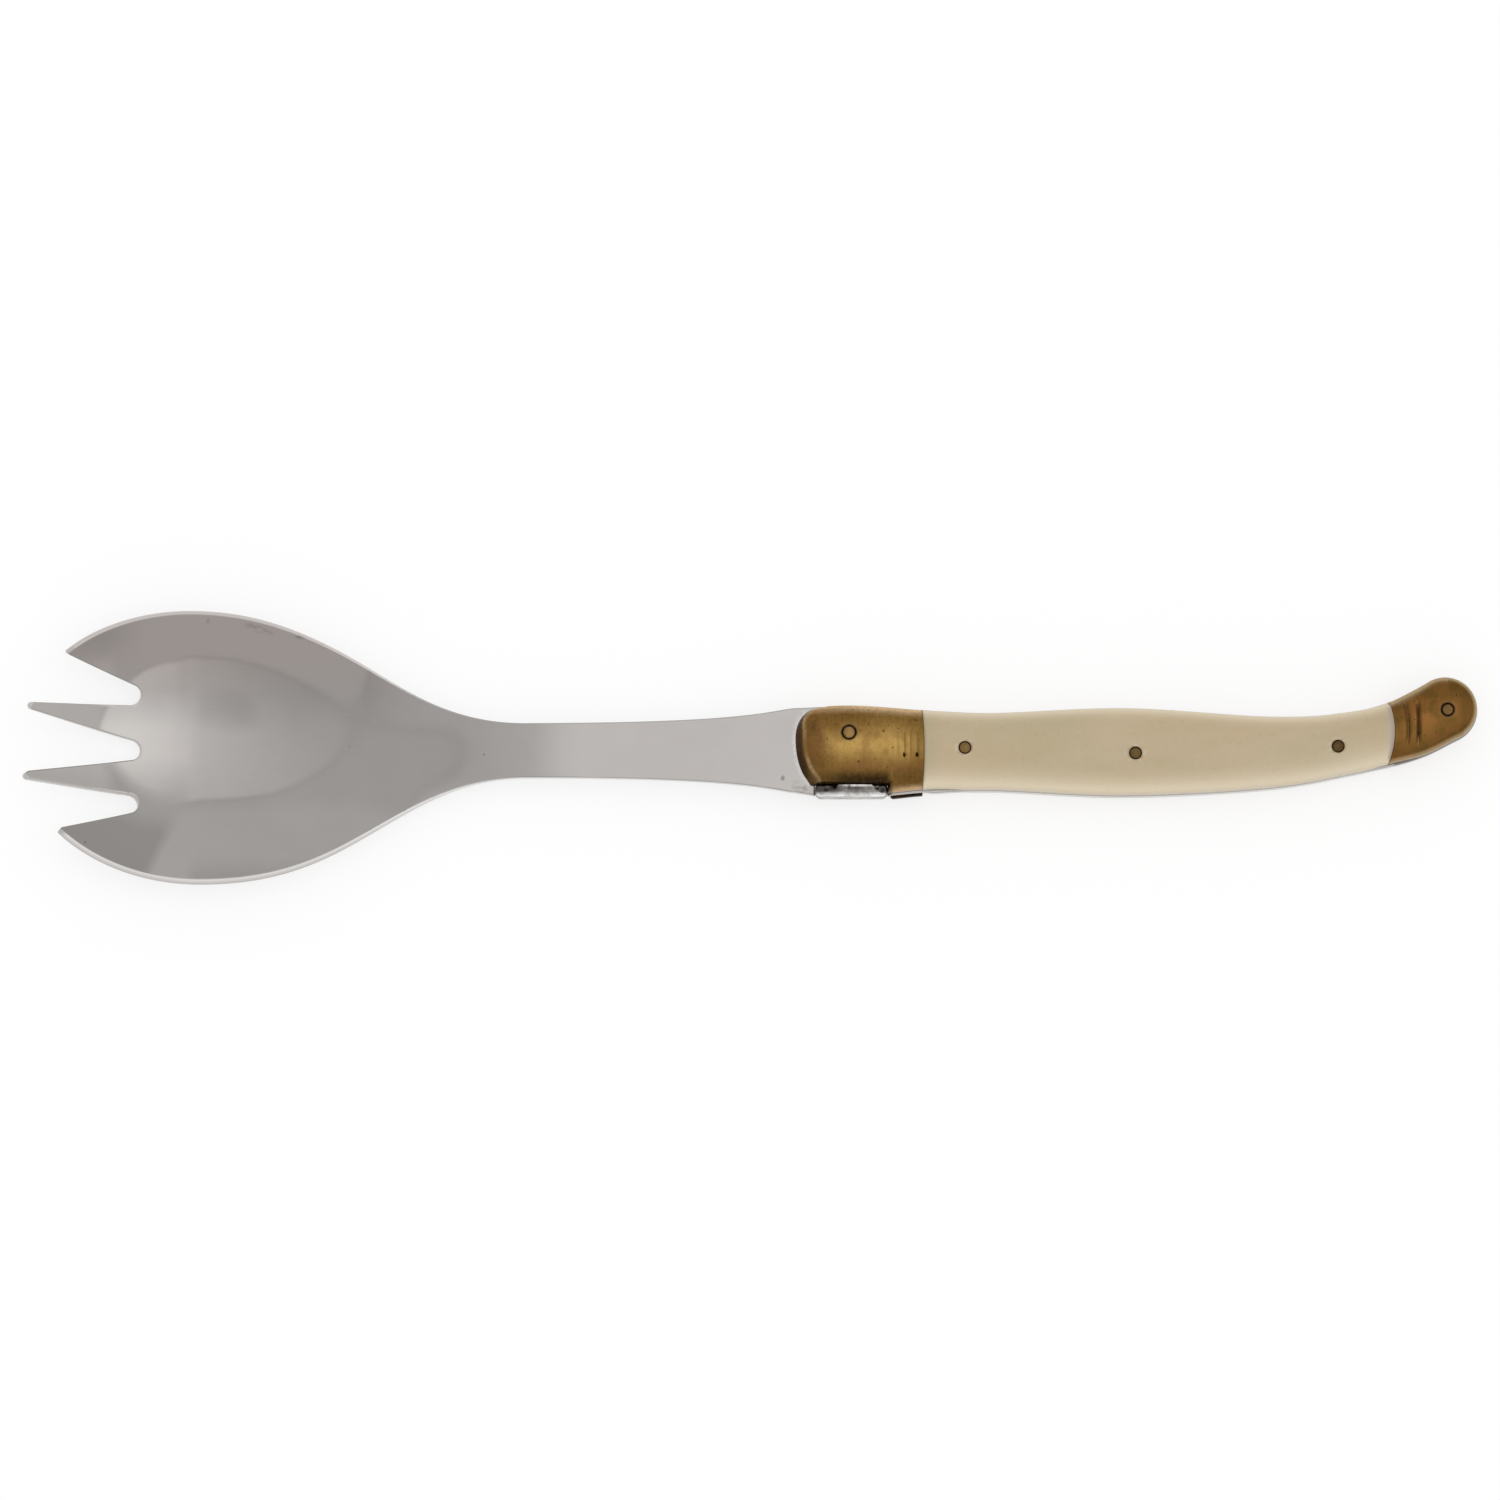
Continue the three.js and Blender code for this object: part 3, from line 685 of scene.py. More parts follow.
def run_out(y, low, high):
    """1 along a line across the handle, fading over the last stretch at either end."""
    return smooth((y - low) / (0.35 * (high - low))) * smooth((high - y) / (0.1 * (high - low)))


def carved(points, centre, half, low, high, depth):
    """A groove across the handle with a V section and ends that run out."""
    section = np.clip(1 - np.abs(points[:, 0] - centre) / half, 0, 1)
    return depth * section * run_out(points[:, 1], low, high)


def carving(points):
    grooves = sum(carved(points, x, GROOVE_HALF, *GROOVE_ENDS, GROOVE_DEPTH) for x in CAP_GROOVES)
    depth = grooves + sum(carved(points, x, LINE_HALF, *LINE_ENDS, LINE_DEPTH) for x in WORN_LINES)
    for dot in DOTS:
        off = np.linalg.norm((points - dot) / DOT_SIZE, axis=1)
        depth = depth + DOT_DEPTH * np.clip(DOT_SLOPE - DOT_SLOPE * off, 0, 1)
    return depth


print("deepest carving:", round(float(carving(np.array(DOTS)).max()), 2), "mm")

# %% [markdown]
# Use has marked the handle, and light and shade are painted in with the marks. Its edges carry a painted
# highlight, hands have polished the middle of the bolster and a painted sheen brightens it, copper shows
# where the zinc has gone, and dirt and painted shade fill the corners, holes and grooves. Such marks could be
# painted by hand.
# Here each is worked out from the distance to an edge, a joint, a pin or a groove, and kept on the
# vertices, so it stays in its place when a size changes.


# %% Keep marks on the vertices
def plan_of(piece):
    places = np.empty(len(piece.data.vertices) * 3)
    piece.data.vertices.foreach_get("co", places)
    return places.reshape(-1, 3) / MM


def brush(piece, marks):
    """Keep how a surface has worn, and where light and shade are painted on it, as values on its vertices,
    for the finishes to read.
    """
    for name, values in marks.items():
        layer = piece.data.attributes.new(name, "FLOAT", "POINT")
        layer.data.foreach_set("value", np.clip(values, 0, 1).astype(np.float32))


def blob(x, y, centre, reach):
    """A soft patch, 1 in its middle."""
    return np.exp(-(((x - centre[0]) / reach[0]) ** 2) - ((y - centre[1]) / reach[1]) ** 2)


def to_places(x, places):
    return np.min([np.abs(x - place) for place in places], axis=0)


# %% Polish with a painted sheen, and bare copper
def polish_and_painted_sheen(plan, d):
    """Polish and a painted sheen on the middle of the bolster, away from its front and its joint."""
    x, y = plan.T
    rubbed = np.exp(-(((y - 0.3) / np.where(y > 0.3, 3.0, 2.6)) ** 2))
    joint = to_places(x, (BOLSTER_JOINT, CAP_JOINT))
    return rubbed * smooth((d["front"] - 0.5) / 9) * (0.3 + 0.7 * smooth(joint / 4.5))


def bare_copper(x, y):
    """Beside the cap's grooves, behind the bolster's nose and along its lower side."""
    cap = 0.3 + 0.5 * blob(x, y, (110.9, 5.8), (2.4, 2.4))
    nose = blob(x, y, (10.9, 0.9), (1.6, 2.6))
    low = 0.5 * np.exp(-(((y + 3.4) / 0.9) ** 2)) * smooth((x - 13) / 4)
    return np.where(x > CAP_JOINT, cap, np.maximum(nose, low))


# %% Places of the pins: along, across, radius of the pin and of its hole, and how tarnished it is
PINS = {
    "bolster_pin": (16.2, 2.2, 1.12, 1.21, 0.05),
    "front_scale_pin": (35.3, -0.356, 1.03, 1.08, 0.4),
    "middle_scale_pin": (63.4, -1.26, 1.03, 1.08, 0.58),
    "rear_scale_pin": (96.8, -0.149, 1.03, 1.08, 0.72),
    "butt_pin": (114.9, 5.95, 1.0, 1.08, 0.38),
}


def to_holes(plan):
    """Distance of each place from the rim of the nearest pin hole."""
    return np.min([np.hypot(*(plan - pin[:2]).T) - pin[3] for pin in PINS.values()], axis=0)


# %% Painted highlights on the edges
BOLSTER_RIM, CAP_RIM = 1.1, 0.8
UPPER_RIM_WIDER, BUTT_TURN = 1.55, 115.0
FRONT_RIM_AT = (-5.6, -2.2, -1.4, 0.6, 1.6, 5.5)
FRONT_RIM_WEAR = (0.75, 0.7, 0.15, 0.15, 0.4, 0.7)


def painted_edge_highlights(plan, d):
    """Painted highlights on the long edges, brighter on the upper side, on the rim of the bolster's front
    face, on groove bottoms and on the rims of the pin holes.
    """
    x, y = plan.T
    on_cap = x > CAP_JOINT
    on_brass = on_cap | (x < BOLSTER_JOINT)
    upper_half = d["upper"] < d["lower"]
    width = np.where(on_cap, CAP_RIM, BOLSTER_RIM)
    width = width * np.where(upper_half & (x < BUTT_TURN), UPPER_RIM_WIDER, 1)
    brass_rim = fade(np.minimum(d["upper"], d["lower"]) - 0.1 * width, width)
    brass_rim = brass_rim * np.where(on_cap, 0.85, 0.75 + 0.25 * smooth((x - 13) / 7))
    brass_rim = brass_rim * np.where(upper_half, 1, 0.7)
    # the ivory's paler edges are a painted highlight too
    ivory_rim = np.maximum(np.exp(-((d["lower"] / 2) ** 1.4)), np.exp(-((d["upper"] / 0.95) ** 1.6)))
    front_rim = band(d["front"], front_face(plan) + 0.25, 0.4) * np.interp(y, FRONT_RIM_AT, FRONT_RIM_WEAR)
    glint = 0.2 + 0.15 * np.sin(2 * math.pi * y / 1.1)
    groove_light = band(to_places(x, CAP_GROOVES), 0, 0.12) * run_out(y, *GROOVE_ENDS) * glint
    hole_rim = band(to_holes(plan), 0.22, 0.2) * np.where(on_brass, 0.12, 0.4)
    rim = np.where(on_brass, brass_rim, 1.2 * ivory_rim)
    return np.max([rim, front_rim, groove_light, hole_rim], axis=0)


# %% Dirt and painted shade
def dark_marks_and_shade(plan, d):
    """Painted shade on the steep front face, along the notch and beside the plate's seat, in the pin holes
    and on the groove flanks; dirt in the joints, cut lines and dots, and a few darker patches.
    """
    x, y = plan.T
    face = front_face(plan)
    front = fade(d["front"] - 0.5 * face, 0.6 * face) * fade(x - 8, 4)
    over_seat = fade(to_line(plan, notch_line[1:]) - 0.5, 2.5) * (0.4 + 0.5 * smooth((x - 11) / 6))
    past_seat = smooth((x - SEAT_TO - 0.3) / 1.2) * (x < BOLSTER_JOINT)
    dots = sum(band(np.linalg.norm((plan - dot) / DOT_SIZE, axis=1), 0, 1.3) for dot in DOTS)
    lines = np.max([band(x, line, 0.2) for line in WORN_LINES], axis=0) * run_out(y, *LINE_ENDS)
    return np.max([
        # painted shade on the steep front face, darkest low down
        front * (0.48 + 0.34 * smooth((4 - y) / 8.5)),
        # painted shade beside the plate's seat
        over_seat * smooth((SEAT_TO + 0.8 - x) / 1.2),
        0.25 * fade(np.abs(y + 5), 2.2) * past_seat,
        # painted shade along the edges of the notch
        0.8 * fade(to_line(plan, notch_line[:2]) - 0.25, 1.0),
        0.8 * fade(d["notch"], 0.5),
        0.35 * blob(x, y, (10.5, 3.2), (1.1, 1.3)),
        0.3 * blob(x, y, (117.9, 5.9), (1.3, 2.6)),
        0.9 * fade(to_places(x, (BOLSTER_JOINT, CAP_JOINT)), 0.22),
        # painted shade in the gap round each pin
        0.75 * fade(to_holes(plan), 0.32),
        # painted shade on the flanks of the cap's grooves
        0.8 * band(to_places(x, CAP_GROOVES), 0.22, 0.2) * run_out(y, *GROOVE_ENDS),
        0.3 * lines,
        dots,
    ], axis=0)


# %% Lift the surface, cut the grooves, bow the joints
JOINT_BOWS = {BOLSTER_JOINT: 0.35, CAP_JOINT: 0.9}
BOW_REACH = 6.0


def finish_surface(piece):
    places = plan_of(piece)
    plan = places[:, :2].copy()
    d = distances(plan)
    brush(piece, {
        "polish_and_sheen": polish_and_painted_sheen(plan, d),
        "bare": bare_copper(*plan.T),
        "edge": painted_edge_highlights(plan, d),
        "grime_and_shade": dark_marks_and_shade(plan, d),
    })
    places[:, 2] = handle_height(plan) - carving(plan)
    half = np.interp(plan[:, 0], middle_x, half_width)
    off_middle = (plan[:, 1] - np.interp(plan[:, 0], middle_x, middle_y)) / half
    for joint, bow in JOINT_BOWS.items():
        places[:, 0] -= bow * off_middle**2 * fade(np.abs(plan[:, 0] - joint), BOW_REACH)
    piece.data.vertices.foreach_set("co", (places * MM).ravel())
    piece.data.update()


for piece in (top_bolster, top_scale, top_cap):
    finish_surface(piece)
    say(piece)

# %% [markdown]
# The steel keeps marks too: its outer rim carries a painted highlight, stronger on the lower side, the strip
# ahead of the bolster is scuffed, the steel is darker round the plate's seat, and painted shade darkens the
# tang under the butt cap.

# %% Marks on the steel
RIM_WIDTH, SCUFF_WIDTH, SCUFF_TO = 0.16, 0.9, 9.5

places = plan_of(blank)
plan, x, z = places[:, :2], places[:, 0], places[:, 2]
# painted highlights on the rim of the head, stronger on the lower side
lower_shine = 0.7 * band(to_line(plan, lower_side), 0, RIM_WIDTH)
upper_shine = 0.25 * band(to_line(plan, upper_side), 0, RIM_WIDTH)
# painted shade on the tang under the butt cap
shade_under_cap = 0.6 * (x > CAP_JOINT + 0.3) * (z > TANG_TOP - 0.1)
brush(blank, {
    "edge": np.maximum(lower_shine, upper_shine) * smooth((NECK_X - x) / 16),
    "scuff": fade(to_line(plan, front_line), SCUFF_WIDTH) * (x > WORN_FROM) * (x < SCUFF_TO),
    "grime_and_shade": np.maximum(fade(to_line(plan, seat), 0.5), shade_under_cap),
})
print("bright rim on", np.count_nonzero(lower_shine) + np.count_nonzero(upper_shine), "vertices")

# %% [markdown]
# The three pieces are still open shells. Their open border is picked as what isn't manifold, extruded, and
# flattened onto the tang by a scale of nought in height. One face then closes the underside.

# %% Walls and undersides
for piece in (top_bolster, top_scale, top_cap):
    open_piece(piece, "EDGE")
    bpy.ops.mesh.select_all(action="DESELECT")
    bpy.ops.mesh.select_non_manifold(extend=False)
    bpy.ops.mesh.extrude_edges_move()
    bpy.ops.transform.resize(value=(1, 1, 0), center_override=(0, 0, SLAB_BASE * MM))
    bpy.ops.mesh.edge_face_add()
    bpy.ops.mesh.select_all(action="SELECT")
    bpy.ops.mesh.normals_make_consistent(inside=False)
    bpy.ops.mesh.quads_convert_to_tris()
    close_piece()
    say(piece)

# %% [markdown]
# ## Pins
# Five brass pins run through the whole handle. Each hole is drilled with a Boolean, tight in the tang and a
# little wider above it, and the gap is painted dark as shade. Each pin is a cylinder whose two ends are inset
# and lifted ring by ring into a slightly domed head.

# %% Drill the holes
def drill(piece, x, y, radius):
    bpy.ops.object.select_all(action="DESELECT")
    bpy.ops.mesh.primitive_cylinder_add(
        vertices=40, radius=radius * MM, depth=30 * MM, location=(x * MM, y * MM, MID_HEIGHT * MM)
    )
    cutter = bpy.context.object
    apply_modifier(piece, "BOOLEAN", object=cutter, operation="DIFFERENCE", solver="EXACT")
    bpy.data.objects.remove(cutter)


holder = {
    "bolster_pin": top_bolster,
    "front_scale_pin": top_scale,
    "middle_scale_pin": top_scale,
    "rear_scale_pin": top_scale,
    "butt_pin": top_cap,
}
for name, (x, y, radius, hole, _) in PINS.items():
    piece = holder[name]
    drill(piece, x, y, hole)
    drill(blank, x, y, radius + 0.01)
    # paint the gap round each pin dark as shade, on the piece and on the tang
    for drilled in (piece, blank):
        off = np.hypot(*(plan_of(drilled)[:, :2] - (x, y)).T)
        for mark, distance in zip(drilled.data.attributes["grime_and_shade"].data, off):
            mark.value = 1 if distance < hole + 0.02 else mark.value
for piece in (top_bolster, top_scale, top_cap):
    only(piece)
    bpy.ops.object.shade_smooth_by_angle(angle=math.radians(38))
    say(piece)

# %% Pins with eased heads
PIN_SHY = 0.05
PIN_RINGS = (  # how far each ring is inset, and how far it is lifted
    (0.03, 0.045), (0.04, 0.03), (0.06, 0.02), (0.12, 0.008), (0.14, 0.006), (0.2, 0.006), (0.2, 0.004),
)
pins = {}
for name, (x, y, radius, _, tarnish) in PINS.items():
    top = float(handle_height(np.array([(x, y)]))[0]) - PIN_SHY
    reach = top - MID_HEIGHT - sum(rise for _, rise in PIN_RINGS)
    bpy.ops.object.select_all(action="DESELECT")
    bpy.ops.mesh.primitive_cylinder_add(
        vertices=48, radius=radius * MM, depth=2 * reach * MM, location=(x * MM, y * MM, MID_HEIGHT * MM)
    )
    pin = bpy.context.object
    pin.name = pin.data.name = name + "_brass"
    bpy.ops.object.transform_apply(location=True, rotation=True, scale=True)
    pick(pin, lambda place: abs(place.z - MID_HEIGHT * MM) > 0.9 * reach * MM)
    for width, rise in PIN_RINGS:
        bpy.ops.mesh.inset(thickness=width * MM)
        bpy.ops.transform.resize(value=(1, 1, 1 + rise / reach), center_override=(0, 0, MID_HEIGHT * MM))
        reach += rise
    close_piece()
    off = np.hypot(*(plan_of(pin)[:, :2] - (x, y)).T) / radius
    # the pin's outer ring is painted dark as shade of the gap, over its tarnish, and its middle gets a
    # painted sheen
    grime_and_shade = np.maximum(smooth((off - 0.7) / 0.2), tarnish)
    brush(pin, {"grime_and_shade": grime_and_shade, "polish_and_sheen": 1 - off, "edge": 0 * off, "bare": 0 * off})
    only(pin)
    bpy.ops.object.shade_smooth_by_angle(angle=math.radians(50))
    pins[name] = pin
    say(pin)

# %% [markdown]
# ## Spine plate
# A small worn steel plate sits in its seat in the handle's lower edge. It starts as a cube, its upright
# corners and then all its edges are rounded with bevels, it is netted, and its faces are hammered: a
# smooth random field moves each vertex a little, and a few deep pits are pressed into the top.

# %% Round the plate
PLATE_LOW, PLATE_HIGH = np.array((10.62, -8.22, 2.0)), np.array((22.58, -6.3, 7.6))
PLATE_MIDDLE = (PLATE_LOW[1] + PLATE_HIGH[1]) / 2
CORNER_ROUND, EDGE_ROUND = 0.8, 0.55

bpy.ops.object.select_all(action="DESELECT")
bpy.ops.mesh.primitive_cube_add(size=1, location=tuple((PLATE_LOW + PLATE_HIGH) / 2 * MM))
plate = bpy.context.object
plate.name = plate.data.name = "spine_plate_steel"
plate.scale = tuple((PLATE_HIGH - PLATE_LOW) * MM)
bpy.ops.object.transform_apply(location=True, rotation=True, scale=True)
open_piece(plate, "EDGE")
bpy.ops.mesh.select_all(action="DESELECT")
close_piece()
for edge in plate.data.edges:
    a, b = (plate.data.vertices[i].co for i in edge.vertices)
    edge.select = abs(a.y - b.y) > MM or (abs(a.z - b.z) > MM and a.y < PLATE_MIDDLE * MM)
bpy.ops.object.mode_set(mode="EDIT")
bpy.ops.mesh.bevel(offset=CORNER_ROUND * MM, segments=5)
close_piece()
apply_modifier(
    plate, "BEVEL", width=EDGE_ROUND * MM, segments=5, limit_method="ANGLE", angle_limit=math.radians(50),
)
open_piece(plate)
cut_lines(0, np.arange(11.1, 22.2, 0.2))
cut_lines(1, np.arange(-8.1, -6.3, 0.15))
cut_lines(2, np.arange(2.3, 7.5, 0.4))
close_piece()
say(plate)

# %% Hammer the plate
DENT, DENT_SCALE = 0.07, 1.1
PITS = (  # along, across, radius
    (12.6, -6.9, 0.5),
    (13.9, -6.6, 0.35),
    (20.9, -6.75, 0.4),
    (21.7, -7.3, 0.45),
    (16.2, -6.55, 0.3),
)
PIT_DEPTH, PITS_FROM = 0.4, 6.0
LIP_FROM, LIP_WIDTH, LIP_HEIGHT = 6.95, 0.42, 7.55
LIP_ENDS, LIP_RUN = (13.8, 20.6), 0.8

places = plan_of(plate)
pits = np.max([np.exp(-((places[:, :2] - pit[:2]) ** 2).sum(1) / pit[2] ** 2) for pit in PITS], axis=0)
for vertex, (x, y, z), pit in zip(plate.data.vertices, places, pits):
    inward = Vector((0, PLATE_MIDDLE - y, MID_HEIGHT - z)).normalized()
    dent = DENT * (0.5 + 0.5 * noise_field.noise(Vector((x, y, z)) * DENT_SCALE))
    sunk = PIT_DEPTH * pit if z > PITS_FROM else 0
    vertex.co += (dent * inward - Vector((0, 0, sunk))) * MM
    if z > LIP_FROM and PLATE_HIGH[1] - y < LIP_WIDTH:
        lip = smooth((x - LIP_ENDS[0]) / LIP_RUN) * smooth((LIP_ENDS[1] - x) / LIP_RUN)
        vertex.co.z += (LIP_HEIGHT * MM - vertex.co.z) * float(lip)
say(plate)

# %% Marks on the plate
x, y, z = places.T
inner, outer = PLATE_HIGH[1] - y, y - PLATE_LOW[1]
on_top = smooth((z - 6.4) / 0.8)
top_dirt = 0.85 * band(inner, 0.64, 0.36) * on_top
corners = np.maximum(smooth((15.6 - x) / 1.0), 0.8 * smooth((x - 20.4) / 0.9))
corner_dirt = 0.9 * corners * fade(inner - 0.85, 0.55) * on_top
to_end = np.minimum(x - PLATE_LOW[0], PLATE_HIGH[0] - x)
end_dirt = fade(to_end - 0.1, 0.45) * np.where(x > 16, 0.85, 0.45)
# painted highlights on the lip and the outer edge
lip_shine = 0.9 * fade(inner - 0.14, 0.26) * on_top * band(x, 17.2, 4.2)
outer_shine = fade(outer - 0.2, 0.6) * (0.3 + 0.7 * on_top)
brush(plate, {
    "grime_and_shade": np.max([pits, top_dirt, corner_dirt, end_dirt], axis=0),
    "edge": np.maximum(outer_shine, lip_shine),
})
only(plate)
bpy.ops.object.shade_smooth_by_angle(angle=math.radians(40))
print("plate: dirt on", np.count_nonzero(corner_dirt), "vertices of its corners")

# %% [markdown]
# ## The bottom side
# The bottom bolster, scale and cap are the same shapes on the other face of the tang. Each is a copy with
# its own mesh, mirrored through the middle of the tang, which turns it inside out, so its normals are
# recalculated.


# %% Mirror the three pieces
def mirrored(piece, name):
    only(piece)
    bpy.ops.object.duplicate(linked=False)
    copy = bpy.context.object
    copy.name = copy.data.name = name
    open_piece(copy)
    bpy.ops.transform.resize(value=(1, 1, -1), center_override=(0, 0, MID_HEIGHT * MM))
    bpy.ops.mesh.normals_make_consistent(inside=False)
    close_piece()
    say(copy)
    return copy


bottom_bolster = mirrored(top_bolster, "bottom_bolster_brass")
bottom_scale = mirrored(top_scale, "bottom_scale_ivory")
bottom_cap = mirrored(top_cap, "bottom_butt_cap_brass")

# %% [markdown]
# Behind the plate, the bottom bolster's lower edge stands a little proud of the tang, as a dark strip under
# the near one. Its vertices there are pushed out, painted dark as shadow, and lose their painted edge
# highlight.

# %% Proud edge of the bottom bolster
PROUD, PROUD_REACH = 0.62, 2.5

places = plan_of(bottom_bolster)
behind_plate = smooth((places[:, 0] - SEAT_TO - 0.1) / 0.8)
near_edge = fade(to_line(places[:, :2], side_lower), PROUD_REACH)
for vertex, push in zip(bottom_bolster.data.vertices, PROUD * behind_plate * near_edge):
    vertex.co.y -= push * MM
# paint the strip dark as shadow, without the edge highlight
for name, shadow_value in (("grime_and_shade", 1.0), ("edge", 0.0)):
    for mark, dirt_and_shade in zip(bottom_bolster.data.attributes[name].data, behind_plate * near_edge):
        mark.value += (shadow_value - mark.value) * min(1, 2 * dirt_and_shade)
say(bottom_bolster)

# %% [markdown]
# ## Finishes
# Every finish is a small network of nodes on the piece's own coordinates, so it stays with the piece.
# The first helper adds a node, sets its values and links its inputs in one line, and the others name the
# nodes that come back often.


# %% Node helpers
def node(tree, kind, inputs=None, **settings):
    made = tree.nodes.new(kind)
    for name, value in settings.items():
        setattr(made, name, value)
    for key, value in (inputs or {}).items():
        if isinstance(value, bpy.types.NodeSocket):
            tree.links.new(value, made.inputs[key])
        else:
            made.inputs[key].default_value = value
    return made


def new_finish(name):
    finish = bpy.data.materials.new(name)
    finish.use_nodes = True
    tree = finish.node_tree
    return finish, tree, tree.nodes["Principled BSDF"]


def count_nodes(finish):
    print(f"{finish.name}: {len(finish.node_tree.nodes)} nodes")


def noise(tree, place, scale, detail=4.0, roughness=0.55):
    inputs = {"Vector": place, "Scale": scale, "Detail": detail, "Roughness": roughness}
    return node(tree, "ShaderNodeTexNoise", inputs).outputs[0]


def ranged(tree, value, low, high, to_low=0.0, to_high=1.0):
    inputs = {"Value": value, "From Min": low, "From Max": high, "To Min": to_low, "To Max": to_high}
    return node(tree, "ShaderNodeMapRange", inputs).outputs[0]


def mixed(tree, share, a, b):
    return node(tree, "ShaderNodeMix", {0: share, 6: a, 7: b}, data_type="RGBA").outputs[2]


def colour(r, g, b):
    """A colour as it is seen on a screen, from 0 to 255, as the linear values that nodes hold."""
    linear = [((c / 255 + 0.055) / 1.055) ** 2.4 if c > 10 else c / 3294.6 for c in (r, g, b)]
    return (*linear, 1.0)


def place_on(tree, scale=(1, 1, 1)):
    """The piece's own coordinates in millimetres, stretched for grain."""
    coordinates = node(tree, "ShaderNodeTexCoord").outputs["Object"]
    stretch = tuple(s / MM for s in scale)
    return node(tree, "ShaderNodeVectorMath", {0: coordinates, 1: stretch}, operation="MULTIPLY").outputs[0]


def worn(tree, name):
    """One of the values that the modelling kept on the piece's vertices."""
    return node(tree, "ShaderNodeAttribute", attribute_name=name).outputs["Fac"]


def weighed(tree, *terms):
    """A sum of values, each times a number, plus the numbers that stand alone."""
    total = sum(term for term in terms if isinstance(term, (int, float)))
    for value, weight in (term for term in terms if isinstance(term, tuple)):
        inputs = {0: value, 1: weight, 2: total}
        total = node(tree, "ShaderNodeMath", inputs, operation="MULTIPLY_ADD").outputs[0]
    return total


def maths(tree, operation, a, b=0.0):
    return node(tree, "ShaderNodeMath", {0: a, 1: b}, operation=operation).outputs[0]


def times(tree, a, b):
    return maths(tree, "MULTIPLY", a, b)


def roughened(tree, shader, height, depth, strength=1.0):
    bump = node(tree, "ShaderNodeBump", {"Height": height, "Strength": strength, "Distance": depth * MM})
    tree.links.new(bump.outputs[0], shader.inputs["Normal"])


# %% [markdown]
# ### Satin steel
# The head was brushed along its length and has dulled evenly. Its tone drifts slowly, the upper side has
# a warm bloom with a few brown stains below the rim, the edges carry a painted highlight, the steel is darker
# round the plate's seat, and painted shade darkens the tang under the butt cap and in the pin holes.

# %% Satin steel
SPOTS = (  # along, across, radius
    (-44.0, -1.0, 0.2), (5.3, -5.0, 0.5), (-66.3, 0.6, 0.14), (-109.6, -16.0, 0.2), (-70.8, 17.3, 0.2),
)
STAINS = (  # along, across, half length, half width
    (-81.3, 19.7, 2.9, 0.75), (-74.7, 18.5, 1.5, 0.5), (-89.7, 21.2, 0.35, 0.8), (8.4, -6.8, 1.9, 1.6),
)
STAIN_SLOPE = -0.3

steel, tree, shader = new_finish("worn_satin_steel")
place = place_on(tree)
axes = node(tree, "ShaderNodeSeparateXYZ", {0: place}).outputs
hairlines = noise(tree, place_on(tree, (0.1, 4, 4)), 1.6, 3)
clouds = noise(tree, place, 0.09, 3)
flecks = noise(tree, place, 2.4, 4)
tone = mixed(tree, ranged(tree, clouds, 0.35, 0.65), (0.436, 0.413, 0.396, 1), (0.456, 0.433, 0.415, 1))
tone = mixed(tree, ranged(tree, axes[1], 7, 15, 0, 0.8), tone, (0.452, 0.402, 0.384, 1))
tone = mixed(tree, ranged(tree, hairlines, 0.3, 0.7, 0, 0.07), tone, (0.60, 0.58, 0.56, 1))
smear = noise(tree, place_on(tree, (0.5, 1, 1)), 1.3, 5, 0.65)
for x, y, length, width in STAINS:
    along = weighed(tree, (axes[0], 1.0), -x)
    across = weighed(tree, (axes[1], 1.0), (along, -STAIN_SLOPE), -y)
    shares = {"X": times(tree, along, 1 / length), "Y": times(tree, across, 1 / width)}
    away = node(tree, "ShaderNodeCombineXYZ", shares).outputs[0]
    away = node(tree, "ShaderNodeVectorMath", {0: away}, operation="LENGTH").outputs["Value"]
    stain = times(tree, ranged(tree, away, 1.0, 0.2), ranged(tree, smear, 0.42, 0.62, 0, 0.6))
    tone = mixed(tree, stain, tone, colour(114, 97, 84))
for x, y, radius in SPOTS:
    spot = node(tree, "ShaderNodeCombineXYZ", {"X": x, "Y": y, "Z": axes[2]}).outputs[0]
    far = node(tree, "ShaderNodeVectorMath", {0: place, 1: spot}, operation="DISTANCE").outputs["Value"]
    far = weighed(tree, (far, 1.0), (flecks, radius), -radius / 2)
    tone = mixed(tree, ranged(tree, far, radius, radius * 0.3, 0, 0.6), tone, colour(84, 78, 74))
scuffs = times(tree, worn(tree, "scuff"), ranged(tree, flecks, 0.4, 0.6, 0.1, 0.8))
tone = mixed(tree, scuffs, tone, (0.72, 0.70, 0.69, 1))
# painted highlight on the rim
tone = mixed(tree, worn(tree, "edge"), tone, (0.93, 0.91, 0.89, 1))
# painted shade under the butt cap and in the pin holes, and darkening round the plate's seat
tone = mixed(tree, worn(tree, "grime_and_shade"), tone, (0.035, 0.03, 0.027, 1))
shader.inputs["Metallic"].default_value = 1
tree.links.new(tone, shader.inputs["Base Color"])
satin = weighed(tree, (ranged(tree, hairlines, 0.3, 0.7, 0.05, 0.085), 1.0), (scuffs, 0.3))
tree.links.new(satin, shader.inputs["Roughness"])
roughened(tree, shader, hairlines, 0.02, 0.02)
count_nodes(steel)

# %% [markdown]
# ### Battered steel of the plate
# The plate has been knocked for years. Its top is mottled with dark pits, and its outer edge and the lip
# beside the bolster carry a painted highlight. The same blotches that darken the steel also roughen it.

# %% Battered steel
battered, tree, shader = new_finish("battered_steel")
place = place_on(tree)
blotches = noise(tree, place, 0.6, 6, 0.6)
tone = mixed(tree, ranged(tree, blotches, 0.33, 0.66), (0.11, 0.1, 0.09, 1), (0.38, 0.35, 0.325, 1))
